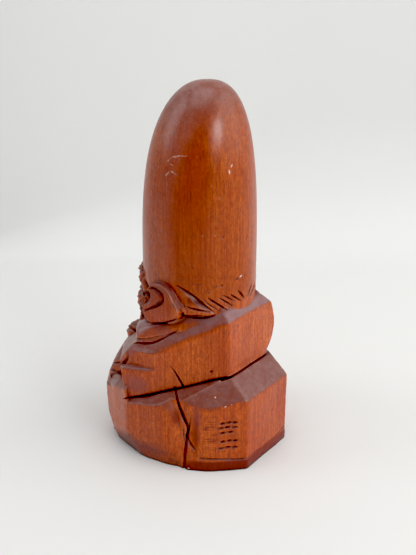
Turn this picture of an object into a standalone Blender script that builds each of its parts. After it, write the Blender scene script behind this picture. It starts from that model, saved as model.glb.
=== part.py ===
"""Carved wooden deity figure: one piece of wood, 160 mm tall.

A seated old god with a very tall bald head, cut from a single billet with
flat knife facets.  The figure faces -Y, its left side is +X, its back is +Y.
The origin is on the ground under the middle of the figure.

Everything is worked out in millimetres from the named sizes below, with the
axis of the head at X = Y = 0.  When the meshes are made they are moved back a
little, so that the origin is under the middle of the whole figure, and turned
into metres.  A "facet" is a flat cut given by
the compass azimuth of its outward normal, the tilt of that normal above the
horizon and one point on the cut.
"""
import bpy
import bmesh
from math import sin, cos, pi, radians
from mathutils import Euler, Vector

MM = 0.001

# ---------------------------------------------------------------- main sizes
HEIGHT = 160.0            # ground to top of head
HEAD_R = 24.8             # radius of the dome where it is widest
HEAD_Z0 = 80.0            # height where the dome starts to close in
HEAD_POW = 3.0            # how late the dome closes
HEAD_ROOT = 0.419         # how blunt the top is
HEAD_LEAN = 4.2           # the top lies this far towards the back
NECK_Z = 58.0             # the head is sunk to here in the shoulders

BACK_Y = 36.5             # back facet of the seat
BACK_HALF = 15.1          # half width of that facet
SEAT_TOP = 32.6           # top edge of the back facet
HEM_Z = 5.0               # line of the hem, cut all round
HEM_CUT = 1.3             # depth of that cut

SLEEVE_BACK_Y = 26.5      # back facet of the shoulders
SLEEVE_BOTTOM = 40.6      # its lower edge
SLEEVE_TOP = 65.6         # its upper edge
SLEEVE_AZ = 30.0          # azimuth of the long side facet of the sleeve
SLEEVE_FALL = -70.0       # tilt of the underside of the sleeves

KNEE_AZ = 10.0            # azimuth of the outer facet of the knee
KNEE_OUT = 36.8           # its distance from the axis
FRONT_AZ = -25.0          # facet from the knee round to the front
FRONT_OUT = 40.0
FRONT_Y = -38.5           # most forward facet of the lap
BEARD_Y = -40.0           # tip of the beard and rim of the sleeves, foremost of all

EAR_TOP = (-0.8, 72.0, 7.7)    # Y, Z and radius of the upper disc of the ear
EAR_LOBE = (-7.2, 64.6, 4.4)   # Y, Z and radius of the lobe
EAR_X = 27.6                   # how far out the ear stands

SHIFT_Y = -0.5 * (BACK_Y + BEARD_Y)   # from the axis of the head to the origin

BIG = 300.0


# ------------------------------------------------------------------- helpers
def clear_scene():
    for obj in list(bpy.data.objects):
        bpy.data.objects.remove(obj, do_unlink=True)


def normal(az, el=0.0):
    a, e = radians(az), radians(el)
    return Vector((cos(e) * cos(a), cos(e) * sin(a), sin(e)))


def facet(az, el, point):
    """A flat cut: outward normal and a point on it."""
    return normal(az, el), Vector(point)


def mirrored(cuts):
    """The same cuts and their mirror images in X = 0."""
    out = list(cuts)
    for n, p in cuts:
        if abs(n.x) > 1e-6:
            out.append((Vector((-n.x, n.y, n.z)), Vector((-p.x, p.y, p.z))))
    return out


def flip(cuts):
    return [(Vector((-n.x, n.y, n.z)), Vector((-p.x, p.y, p.z))) for n, p in cuts]


def new_object(name, bm, material=None, guide=True):
    bmesh.ops.recalc_face_normals(bm, faces=bm.faces)
    bmesh.ops.translate(bm, vec=(0.0, SHIFT_Y, 0.0), verts=bm.verts)
    bmesh.ops.scale(bm, vec=(MM, MM, MM), verts=bm.verts)
    mesh = bpy.data.meshes.new(name)
    bm.to_mesh(mesh)
    bm.free()
    obj = bpy.data.objects.new(name, mesh)
    bpy.context.scene.collection.objects.link(obj)
    if material is not None:
        mesh.materials.append(material)
    if guide:
        obj.hide_render = True
        obj.display_type = 'WIRE'
    return obj


def block(name, cuts, centre=(0.0, 0.0, 40.0), **kw):
    """A convex block: a big cube pared down by flat cuts."""
    bm = bmesh.new()
    bmesh.ops.create_cube(bm, size=BIG)
    bmesh.ops.translate(bm, vec=centre, verts=bm.verts)
    for n, p in cuts:
        geom = bm.verts[:] + bm.edges[:] + bm.faces[:]
        cut = bmesh.ops.bisect_plane(bm, geom=geom, dist=1e-4, plane_co=p,
                                     plane_no=n, clear_outer=True)
        edges = [e for e in cut['geom_cut'] if isinstance(e, bmesh.types.BMEdge)]
        if edges:
            bmesh.ops.contextual_create(bm, geom=edges)
    bmesh.ops.remove_doubles(bm, verts=bm.verts, dist=1e-3)
    return new_object(name, bm, **kw)


def hull(name, points, **kw):
    """The convex solid through a few named corner points."""
    bm = bmesh.new()
    verts = [bm.verts.new(p) for p in points]
    res = bmesh.ops.convex_hull(bm, input=verts)
    loose = [v for v in bm.verts if not v.link_faces]
    bmesh.ops.delete(bm, geom=loose, context='VERTS')
    del res
    return new_object(name, bm, **kw)


def egg(name, centre, radii, turn=(0.0, 0.0, 0.0), segments=16, rings=9, **kw):
    """An ellipsoid, turned about X, Y and Z by degrees."""
    bm = bmesh.new()
    bmesh.ops.create_uvsphere(bm, u_segments=segments, v_segments=rings, radius=1.0)
    bmesh.ops.scale(bm, vec=radii, verts=bm.verts)
    rot = Euler([radians(t) for t in turn]).to_matrix()
    bmesh.ops.rotate(bm, cent=(0, 0, 0), matrix=rot, verts=bm.verts)
    bmesh.ops.translate(bm, vec=centre, verts=bm.verts)
    return new_object(name, bm, **kw)


def groove(name, path, outs, widths, depths, proud=1.5):
    """A V cut along a path on the surface.

    path   points on the surface
    outs   outward directions there
    widths, depths   of the V at each point (mm)
    """
    bm = bmesh.new()
    n = len(path)
    sections = []
    for i in range(n):
        p = Vector(path[i])
        a = Vector(path[max(i - 1, 0)])
        b = Vector(path[min(i + 1, n - 1)])
        along = (b - a).normalized()
        out = Vector(outs[i]).normalized()
        side = along.cross(out).normalized()
        out = side.cross(along).normalized()
        w, d = widths[i], depths[i]
        half = 0.5 * w * (1.0 + proud / max(d, 0.3))
        sections.append([bm.verts.new(p - out * d),
                         bm.verts.new(p + out * proud + side * half),
                         bm.verts.new(p + out * proud - side * half)])
    for s, t in zip(sections[:-1], sections[1:]):
        for k in range(3):
            bm.faces.new((s[k], s[(k + 1) % 3], t[(k + 1) % 3], t[k]))
    bm.faces.new(sections[0][::-1])
    bm.faces.new(sections[-1])
    bmesh.ops.triangulate(bm, faces=bm.faces)
    return new_object(name, bm)


def on_head(az, z, inset=0.0):
    """A point on the dome (or the straight wall under it) and its outward way."""
    r, cy = head_radius(z), head_centre(z)
    a = radians(az)
    return (Vector(((r - inset) * cos(a), cy + (r - inset) * sin(a), z)),
            Vector((cos(a), sin(a), 0.0)))


def head_radius(z):
    t = min(max((z - HEAD_Z0) / (HEIGHT - HEAD_Z0), 0.0), 1.0)
    return HEAD_R * (1.0 - t ** HEAD_POW) ** HEAD_ROOT


def head_centre(z):
    t = min(max((z - HEAD_Z0) / (HEIGHT - HEAD_Z0), 0.0), 1.0)
    return HEAD_LEAN * t ** 3.4 - 0.2


def head(name, around=48, **kw):
    """The dome, lofted from level rings that crowd together near the top."""
    bm = bmesh.new()
    levels = [NECK_Z, 66.0, 73.0, HEAD_Z0, 90.0, 100.0, 109.0, 117.0, 124.0,
              130.0, 135.5, 140.3, 144.5, 148.1, 151.2, 153.8, 156.0, 157.7, 158.9, 159.6]
    rings = []
    for z in levels:
        r, cy = head_radius(z), head_centre(z)
        rings.append([bm.verts.new((r * cos(2 * pi * k / around),
                                    cy + r * sin(2 * pi * k / around), z))
                      for k in range(around)])
    for a, b in zip(rings[:-1], rings[1:]):
        for k in range(around):
            m = (k + 1) % around
            bm.faces.new((a[k], a[m], b[m], b[k]))
    bm.faces.new(rings[0][::-1])
    top = bm.verts.new((0.0, head_centre(HEIGHT), HEIGHT))
    for k in range(around):
        bm.faces.new((rings[-1][k], rings[-1][(k + 1) % around], top))
    return new_object(name, bm, **kw)


def ear(name, side, steps=9):
    """Two discs side by side with their common outline, cut from a slab."""
    bm = bmesh.new()
    verts = []
    for (y, z, r), x0, x1 in ((EAR_TOP, 19.0, EAR_X), (EAR_LOBE, 17.0, EAR_X - 1.2)):
        for k in range(steps * 2):
            a = 2 * pi * k / (steps * 2)
            for x, rr in ((x0, r), (x1 - 1.4, r), (x1, r - 1.6)):
                verts.append(bm.verts.new((side * x, y + rr * cos(a), z + rr * sin(a))))
    bmesh.ops.convex_hull(bm, input=verts)
    loose = [v for v in bm.verts if not v.link_faces]
    bmesh.ops.delete(bm, geom=loose, context='VERTS')
    return new_object(name, bm)


def wood():
    mat = bpy.data.materials.new("carved_wood")
    mat.use_nodes = True
    bsdf = mat.node_tree.nodes["Principled BSDF"]
    bsdf.inputs["Base Color"].default_value = (0.42, 0.085, 0.016, 1.0)
    bsdf.inputs["Roughness"].default_value = 0.38
    bsdf.inputs["Metallic"].default_value = 0.0
    return mat


# ------------------------------------------------------------- solid forms
def seat():
    """The lower robe at the back: three broad facets under three bevels."""
    cuts = mirrored([
        facet(90, 0, (0, BACK_Y, 0)),
        facet(45, 0, (BACK_HALF, BACK_Y, 0)),
        facet(28, 0, (27.6, 23.5, 0)),
        facet(0, 0, (31.5, 0, 0)),
        facet(-18.6, 67, (24.9, 9.5, 34.0)),          # kept under the sleeve
        facet(90, 49, (0, BACK_Y, SEAT_TOP)),
        facet(37, 35, (BACK_HALF, BACK_Y - 0.1, SEAT_TOP)),
        facet(-90, 0, (0, 2.0, 0)),
        facet(90, 80, (0, 0, 48.0)),
        facet(0, -90, (0, 0, -6.0)),
    ])
    return block("seat", cuts)


def shoulders():
    """Shoulders and sleeves, one broad block with its back facet set forward."""
    cuts = mirrored([
        facet(90, 0, (0, SLEEVE_BACK_Y, 0)),
        facet(SLEEVE_AZ, 0, (BACK_HALF, SLEEVE_BACK_Y, 0)),
        facet(90, SLEEVE_FALL, (0, SLEEVE_BACK_Y, SLEEVE_BOTTOM)),
        facet(88, 45, (0, SLEEVE_BACK_Y, SLEEVE_TOP)),
        facet(12.3, 31.6, (15.4, 25.9, 64.9)),
        facet(FRONT_AZ, 0, (38.1, -13.3, 0)),
        facet(-62, 0, (29.0, -31.0, 0)),
        facet(-90, 0, (0, -36.5, 0)),
        facet(-50, 42, (30.0, -29.0, 40.5)),
        facet(-90, 40, (0, -36.0, 40.0)),
    ])
    return block("shoulders", cuts)


def knee_cuts():
    return [
        facet(KNEE_AZ, 0, normal(KNEE_AZ) * KNEE_OUT),
        facet(FRONT_AZ, 0, normal(FRONT_AZ) * FRONT_OUT),
        facet(-58, 0, (28.5, -33.0, 0)),
        facet(-90, 0, (0, FRONT_Y, 0)),
        facet(8, -15, (34.9, -5.0, 0)),               # under-facets of the knee
        facet(-15, -25, (31.5, -17.8, 0)),
        facet(-45, -20, (28.5, -27.0, 0)),            # the same, round the front
        facet(-68, -22, (20.0, -32.4, 0)),
        facet(30, -20, (33.2, 8.0, 0)),               # low facet towards the back
        facet(34, 0, (35.3, 10.0, 0)),                # bright facet by the crease
        facet(40, 28, (34.6, 11.5, 24.0)),            # slope above it
        facet(-42, 48, (39.0, -10.5, 33.0)),          # top of the knee
        facet(0, 78, (37.5, -2.0, 33.0)),
        facet(84, 0, (31.0, 15.6, 0)),                # behind the crease
        facet(180, 0, (8.0, 0, 0)),
        facet(0, -90, (0, 0, -6.0)),
    ]


def lap():
    """Robe between the knees, down to the hem."""
    cuts = mirrored([
        facet(-90, 0, (0, -36.0, 0)),
        facet(-58, 0, (20.0, -35.4, 0)),
        facet(0, 0, (26.0, 0, 0)),
        facet(-90, 45, (0, -36.0, 20.0)),
        facet(90, 0, (0, 5.0, 0)),
        facet(90, 85, (0, 0, 34.0)),
        facet(0, -90, (0, 0, -6.0)),
    ])
    return block("lap", cuts)


def cuff(name, s):
    """A wide sleeve end that falls over the lap in front."""
    pts = [(2.5, -33.5, 46.0), (16.0, -33.0, 45.5), (28.0, -30.0, 40.0),
           (31.5, -30.0, 30.0), (22.0, -38.0, 22.0), (26.0, -35.5, 33.0),
           (3.0, -39.0, 34.0), (3.0, -37.5, 24.0), (14.0, BEARD_Y, 33.0),
           (2.5, -20.0, 44.0), (28.0, -18.0, 44.0), (28.0, -15.0, 24.0), (2.5, -15.0, 24.0)]
    return hull(name, [(s * x, y, z) for x, y, z in pts])


def beard():
    pts = [(0, -30.5, 60.5), (11.5, -26.0, 59.5), (-11.5, -26.0, 59.5),
           (14.0, -17.0, 60.0), (-14.0, -17.0, 60.0),
           (9.0, -34.5, 50.0), (-9.0, -34.5, 50.0), (0, -36.5, 50.0),
           (4.0, -39.5, 39.5), (-4.0, -39.5, 39.5), (0, BEARD_Y, 35.5),
           (7.5, -37.5, 43.0), (-7.5, -37.5, 43.0),
           (0, -15.0, 40.0), (12.0, -15.0, 46.0), (-12.0, -15.0, 46.0)]
    return hull("beard", pts)


def nose():
    pts = [(0, -25.0, 76.0), (2.2, -24.0, 76.0), (-2.2, -24.0, 76.0),
           (0, -31.0, 66.2), (4.2, -27.4, 64.2), (-4.2, -27.4, 64.2),
           (0, -30.4, 64.2), (3.4, -20.0, 63.5), (-3.4, -20.0, 63.5), (0, -20.0, 76.0)]
    return hull("nose", pts)


# --------------------------------------------------------------------- cuts
def hem_cut():
    """A V cut all round the back, where the lowest fold meets the base."""
    path = [(-33.0, 12.5, HEM_Z + 1.6), (-27.6, 23.5, HEM_Z + 1.0), (-BACK_HALF, BACK_Y, HEM_Z),
            (BACK_HALF, BACK_Y, HEM_Z), (27.6, 23.5, HEM_Z + 1.0), (33.0, 12.5, HEM_Z + 1.6)]
    outs = [normal(152), normal(148), normal(112), normal(68), normal(32), normal(28)]
    k = [0.5, 1.0, 1.0, 1.0, 1.0, 0.5]
    return groove("hem_cut", path[::-1], outs[::-1], [2.2] * 6, [HEM_CUT * f for f in k])


def strokes(side):
    """Hair line: short knife strokes that slant down to the nape."""
    made = []
    starts = [(38, 74.4), (44, 74.8), (55, 74.4), (59, 75.2), (66, 75.9), (77, 76.6)]
    ends = [(55, 68.8), (63, 69.1), (70, 69.8), (74, 71.2), (81, 71.2), (87, 71.8)]
    for i, ((a0, z0), (a1, z1)) in enumerate(zip(starts, ends)):
        if side < 0:
            a0, a1 = 180 - a0 + 1.5, 180 - a1 + 1.5
        p0, o0 = on_head(a0, z0)
        p1, o1 = on_head(a1, z1)
        pm, om = on_head(0.5 * (a0 + a1), 0.5 * (z0 + z1))
        made.append(groove("hair_%s_%d" % ("l" if side > 0 else "r", i),
                           [p0, pm, p1], [o0, om, o1], [0.5, 1.1, 0.8], [0.35, 0.9, 0.6]))
    return made


def side_cuts(s):
    """Cuts of one side of the body; s is +1 for the figure's left."""
    tag = "l" if s > 0 else "r"
    m = lambda v: Vector((s * v[0], v[1], v[2]))
    made = []
    # crease between the knee and the seat
    path = [(34.4, 12.6, 38.0), (33.6, 13.0, 31.0), (32.0, 14.8, 24.5), (31.6, 15.6, 19.0),
            (31.9, 15.0, 11.0), (32.2, 14.4, 2.0), (32.2, 14.4, -2.0)]
    out = [normal(50, 0)] * 7
    made.append(groove("knee_crease_" + tag, [m(p) for p in path], [m(o) for o in out],
                       [2.0, 2.4, 2.8, 3.2, 3.4, 3.4, 3.4], [2.0, 2.4, 2.8, 3.0, 3.0, 3.0, 3.0]))
    # small fold on the seat beside it
    path = [(31.0, 17.2, 27.0), (30.6, 17.8, 20.0), (30.0, 18.9, 13.5), (29.4, 20.2, 9.0)]
    made.append(groove("seat_fold_" + tag, [m(p) for p in path], [m(normal(30))] * 4,
                       [0.7, 1.6, 2.2, 1.0], [0.6, 1.6, 2.0, 0.8]))
    # long cut between the sleeve and the knee, wider where the cloth is scooped out
    path = [(39.5, -15.0, 25.2), (36.0, -9.0, 27.6), (31.2, -0.6, 30.6), (25.4, 8.9, 34.2),
            (19.0, 19.8, 38.3), (14.6, 27.2, 40.8)]
    out = [normal(8, 10), normal(20, 20), normal(28, 30), normal(32, 20), normal(34, 15), normal(60, 15)]
    made.append(groove("sleeve_cut_" + tag, [m(p) for p in path], [m(o) for o in out],
                       [0.8, 1.6, 2.0, 2.0, 1.8, 1.8], [0.8, 2.2, 3.0, 3.0, 2.4, 2.0]))
    made.append(hull("knee_scoop_" + tag, [m(p) for p in (
        (39.6, -12.5, 26.0), (40.5, -6.0, 27.2), (39.5, 3.0, 27.4), (37.8, 8.5, 33.0),
        (41.0, -4.0, 31.0), (40.0, 5.0, 34.0), (28.0, 2.0, 31.3), (31.0, -6.0, 28.6),
        (30.0, 4.0, 32.5), (33.0, -5.0, 29.6))]))
    # fold at the front of the sleeve: a ledge that widens towards the front
    made.append(hull("sleeve_ledge_" + tag, [m(p) for p in (
        (28.8, 0.5, 41.5), (30.0, 0.5, 41.6), (41.0, -15.5, 39.6), (41.0, -15.5, 35.6),
        (33.5, -17.0, 39.5), (35.0, -22.0, 36.0), (44.0, -9.0, 39.6), (42.0, -8.0, 41.0))]))
    # short slanting cut on the sleeve
    path = [(26.8, 6.2, 44.0), (25.4, 8.8, 39.5), (24.4, 10.4, 34.0)]
    made.append(groove("sleeve_nick_" + tag, [m(p) for p in path], [m(normal(SLEEVE_AZ))] * 3,
                       [0.5, 1.2, 1.3], [0.5, 1.3, 1.6]))
    # groove under the neckband
    path = [(26.5, -15.0, 49.5), (28.6, -6.5, 53.0), (28.2, -0.5, 55.6), (25.6, 8.2, 59.8)]
    out = [normal(-10, 35), normal(0, 35), normal(6, 35), normal(14, 32)]
    made.append(groove("neckband_cut_" + tag, [m(p) for p in path], [m(o) for o in out],
                       [3.4, 3.0, 2.4, 0.8], [2.6, 2.4, 1.8, 0.5]))
    # inner groove of the ear, a hook round the ear hole
    path, cy, cz, r = [], -5.4, 71.9, 4.3
    for k in range(8):
        a = radians(118 - 28 * k)
        path.append((EAR_X - 0.1, cy + r * cos(a), cz + r * sin(a)))
    path.append((EAR_X - 0.5, -12.0, 64.9))
    made.append(groove("ear_cut_" + tag, [m(p) for p in path], [m((1, 0, 0))] * 9,
                       [1.4, 1.9, 2.2, 2.3, 2.3, 2.2, 2.0, 1.8, 1.6],
                       [1.6, 2.2, 2.6, 2.8, 2.8, 2.6, 2.2, 1.8, 1.6]))
    # slanting groove behind the ear
    pts, outs = [], []
    for a, z in ((14, 79.2), (26, 75.6), (38, 72.4), (49, 69.6)):
        p, o = on_head(a, z)
        pts.append(m(p))
        outs.append(m(o + Vector((0, 0, -0.35))))
    made.append(groove("nape_cut_" + tag, pts, outs, [0.8, 2.6, 3.0, 1.4], [0.6, 1.9, 2.2, 1.2]))
    # three grooves of the beard
    for k, x in enumerate((2.2, 6.0)):
        path = [(x + 2.2, -29.5 + 0.35 * x, 58.0), (x + 1.2, -36.6 + 0.3 * x, 49.0), (0.45 * x, -40.2 + 0.2 * x, 39.0)]
        made.append(groove("beard_cut_%s_%d" % (tag, k), [m(p) for p in path],
                           [m((0.15, -1, 0.25))] * 3, [0.8, 1.6, 0.8], [0.8, 1.6, 0.8]))
    # fold lines of the robe in front
    for k, (x0, z0, x1, z1) in enumerate(((6.0, 23.0, 10.0, -2.0), (19.0, 20.0, 16.0, -2.0))):
        path = [(x0, FRONT_Y + 1.2 * (1 - k), z0), (0.5 * (x0 + x1), FRONT_Y, 0.5 * (z0 + z1)), (x1, FRONT_Y, z1)]
        made.append(groove("robe_cut_%s_%d" % (tag, k), [m(p) for p in path],
                           [m((0, -1, 0))] * 3, [1.0, 2.6, 2.8], [1.0, 2.6, 2.6]))
    return made


def build():
    clear_scene()
    mat = wood()

    figure = head("deity_figure", material=mat, guide=False)

    forms = [seat(), shoulders(), lap(), beard(), nose()]
    for s, tag in ((1, "l"), (-1, "r")):
        cuts = knee_cuts()
        forms.append(block("knee_" + tag, cuts if s > 0 else flip(cuts),
                           centre=(s * 20.0, 0.0, 15.0)))
        forms.append(ear("ear_" + tag, s))
        forms.append(cuff("cuff_" + tag, s))
        # neckband: a roll that thins out towards the nape
        forms.append(hull("neckband_" + tag, [(s * x, y, z) for x, y, z in (
            (18.0, -22.0, 57.0), (27.2, -13.0, 55.5), (28.0, -6.0, 57.5), (27.2, -1.0, 61.0),
            (25.2, 5.0, 64.0), (22.0, 9.0, 66.3), (18.0, 9.0, 60.0), (24.0, 7.5, 60.5),
            (18.0, -20.0, 50.0), (26.5, -15.0, 50.6), (28.6, -6.5, 53.6), (28.2, -0.5, 56.4),
            (14.0, -10.0, 60.0))]))
        forms.append(egg("brow_" + tag, (s * 9.6, -22.0, 74.6), (8.6, 4.8, 4.0), (0, s * 28, s * 24)))
        forms.append(egg("cheek_" + tag, (s * 10.5, -19.4, 66.0), (7.6, 6.0, 6.6), (0, 0, s * 24)))
        forms.append(egg("side_beard_" + tag, (s * 12.6, -20.0, 60.0), (7.4, 7.0, 6.4), (0, 0, s * 30)))
        forms.append(egg("moustache_" + tag, (s * 5.8, -26.6, 60.6), (6.6, 3.4, 2.9), (0, s * 24, s * 14)))
        forms.append(egg("hand_" + tag, (s * 6.8, -33.5, 46.2), (7.0, 6.2, 5.6), (0, 0, s * 10)))

    cutters = [hem_cut()]
    for s in (1, -1):
        cutters += side_cuts(s)
        cutters += strokes(s)
    cutters.append(block("below_ground", [facet(0, 90, (0, 0, 0.0)), facet(0, -90, (0, 0, -40.0))],
                         centre=(0.0, 0.0, -20.0)))

    def apply_list(operation, objs):
        for obj in objs:
            mod = figure.modifiers.new(operation.lower() + "_" + obj.name, 'BOOLEAN')
            mod.operation = operation
            mod.object = obj
            mod.solver = 'EXACT'

    apply_list('UNION', forms)
    apply_list('DIFFERENCE', cutters)


build()
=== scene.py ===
"""Looks of the carved wooden deity figure: one seated figure cut from one billet.

The form is described again in millimetres, with the axis of the tall head at
X = Y = 0, as a solid built from flat knife cuts, rounded masses and V-shaped
cuts, and turned into one fine closed mesh.  The figure faces -Y.
"""

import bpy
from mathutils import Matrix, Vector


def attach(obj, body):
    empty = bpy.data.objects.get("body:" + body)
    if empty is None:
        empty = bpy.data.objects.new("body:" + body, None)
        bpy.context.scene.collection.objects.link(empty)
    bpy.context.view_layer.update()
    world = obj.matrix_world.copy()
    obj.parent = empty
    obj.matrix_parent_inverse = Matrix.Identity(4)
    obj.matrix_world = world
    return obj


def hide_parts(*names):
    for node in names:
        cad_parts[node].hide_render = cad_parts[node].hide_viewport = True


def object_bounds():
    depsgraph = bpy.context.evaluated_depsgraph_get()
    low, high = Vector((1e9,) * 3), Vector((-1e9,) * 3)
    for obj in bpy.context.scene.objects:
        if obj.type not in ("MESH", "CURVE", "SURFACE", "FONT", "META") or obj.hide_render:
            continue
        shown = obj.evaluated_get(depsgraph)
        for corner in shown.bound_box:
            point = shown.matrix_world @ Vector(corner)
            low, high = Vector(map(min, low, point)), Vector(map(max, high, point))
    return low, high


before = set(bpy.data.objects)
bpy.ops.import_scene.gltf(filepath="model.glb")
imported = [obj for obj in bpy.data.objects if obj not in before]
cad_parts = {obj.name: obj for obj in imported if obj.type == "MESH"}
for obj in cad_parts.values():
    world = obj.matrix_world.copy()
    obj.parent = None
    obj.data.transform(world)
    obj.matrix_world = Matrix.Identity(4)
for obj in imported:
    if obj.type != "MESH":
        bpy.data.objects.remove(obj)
CAD_LO, CAD_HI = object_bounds()
CAD_LO, CAD_HI = list(CAD_LO), list(CAD_HI)

import math
import itertools
import bpy
import numpy as np
from mathutils import Vector

CELL = 0.42          # mm, size of the finest cell
BUDGET = 192000                        # triangles kept

# ---------------------------------------------------------------- main sizes
HEIGHT = 160.0
HEAD_R = 24.8
HEAD_Z0 = 80.0
HEAD_LEAN = 4.2
BACK_Y = 36.5
BACK_HALF = 15.1
SEAT_TOP = 32.6
HEM_Z = 5.0
SLEEVE_BACK_Y = 26.5
SLEEVE_BOTTOM = 40.6
SLEEVE_TOP = 65.6
SLEEVE_AZ = 30.0
FRONT_Y = -38.5
FOREMOST_Y = -40.0
SHIFT_Y = -0.5 * (BACK_Y + FOREMOST_Y)
CAM_AZ = 36.7                          # azimuth from which the figure is seen
CAM_EL = 19.0
GLINT = (73.0, 23.0)                   # where the window pane stands


# ------------------------------------------------------------ small helpers
def way(az, el=0.0):
    a, e = math.radians(az), math.radians(el)
    return np.array([math.cos(e) * math.cos(a), math.cos(e) * math.sin(a), math.sin(e)])


def facet(az, el, point):
    n = way(az, el)
    return np.append(n, n @ np.array(point, float))


def smax(a, b, k):
    h = np.maximum(k - np.abs(a - b), 0.0) / k
    return np.maximum(a, b) + h * h * (k * 0.25)


def smin(a, b, k):
    h = np.maximum(k - np.abs(a - b), 0.0) / k
    return np.minimum(a, b) - h * h * (k * 0.25)


def step(x, lo, hi):
    t = np.clip((x - lo) / (hi - lo), 0.0, 1.0)
    return t * t * (3.0 - 2.0 * t)


def convex(p, planes, k=0.9):
    """A block between flat cuts, its edges worn by about k."""
    d = None
    for f in planes:
        e = p[:, 0] * f[0] + p[:, 1] * f[1] + p[:, 2] * f[2] - f[3]
        d = e if d is None else smax(d, e, k)
    return d


def flat(p, f):
    return p[:, 0] * f[0] + p[:, 1] * f[1] + p[:, 2] * f[2] - f[3]


def hull_planes(points):
    """The flat faces of the convex solid through a few corner points."""
    P = np.array(points, float)
    found = []
    for i, j, k in itertools.combinations(range(len(P)), 3):
        n = np.cross(P[j] - P[i], P[k] - P[i])
        L = np.linalg.norm(n)
        if L < 1e-6:
            continue
        n = n / L
        s = (P - P[i]) @ n
        if s.max() > 1e-6 and s.min() < -1e-6:
            continue
        if s.max() > 1e-6:
            n = -n
        f = np.append(n, n @ P[i])
        if not any(np.allclose(f, g, atol=1e-4) for g in found):
            found.append(f)
    return found


def turn(ax=0.0, ay=0.0, az=0.0):
    from mathutils import Euler
    return np.array(Euler([math.radians(t) for t in (ax, ay, az)]).to_matrix())


def egg(p, c, r, R=None):
    q = p - np.array(c, np.float32)
    if R is not None:
        q = q @ R.astype(np.float32)
    r = np.array(r, np.float32)
    k0 = np.sqrt(((q / r) ** 2).sum(1)) + 1e-6
    k1 = np.sqrt(((q / (r * r)) ** 2).sum(1)) + 1e-6
    return k0 * (k0 - 1.0) / k1


def tusk(p, pts, radii):
    """A round tapering body along a bent line."""
    best = None
    for (a, b), (ra, rb) in zip(zip(pts[:-1], pts[1:]), zip(radii[:-1], radii[1:])):
        a, b = np.array(a, np.float32), np.array(b, np.float32)
        ab = b - a
        t = np.clip(((p - a) @ ab) / (ab @ ab), 0.0, 1.0)
        e = p - a - t[:, None] * ab
        d = np.sqrt((e * e).sum(1)) - (ra + (rb - ra) * t)
        best = d if best is None else np.minimum(best, d)
    return best


def uneven(y, z, A, B):
    """Signed distance, in the plane, to the outline round two discs."""
    ya, za, ra = A
    yb, zb, rb = B
    h = math.hypot(yb - ya, zb - za)
    ux, uz = (yb - ya) / h, (zb - za) / h
    v = (y - ya) * ux + (z - za) * uz
    w = np.abs((y - ya) * uz - (z - za) * ux)
    b = (ra - rb) / h
    a = math.sqrt(max(1.0 - b * b, 0.0))
    k = -b * w + a * v
    mid = a * w + b * v - ra
    lo = np.sqrt(w * w + v * v) - ra
    hi = np.sqrt(w * w + (v - h) ** 2) - rb
    return np.where(k < 0, lo, np.where(k > a * h, hi, mid))


def wob(p, s, ph=0.0):
    """A smooth wavy value between about -1 and 1, with waves about s mm long."""
    f = 2.0 * math.pi / s
    return (np.sin(p[:, 0] * f + 1.7 * np.sin(p[:, 2] * f * 0.61 + ph) + ph)
            * np.sin(p[:, 1] * f * 0.83 + 1.3 * np.sin(p[:, 0] * f * 0.47 - ph) + 2.1 * ph + 0.7)
            + np.sin(p[:, 2] * f * 0.77 + 1.1 * np.sin(p[:, 1] * f * 0.53 + ph) - ph)) * 0.6


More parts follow.
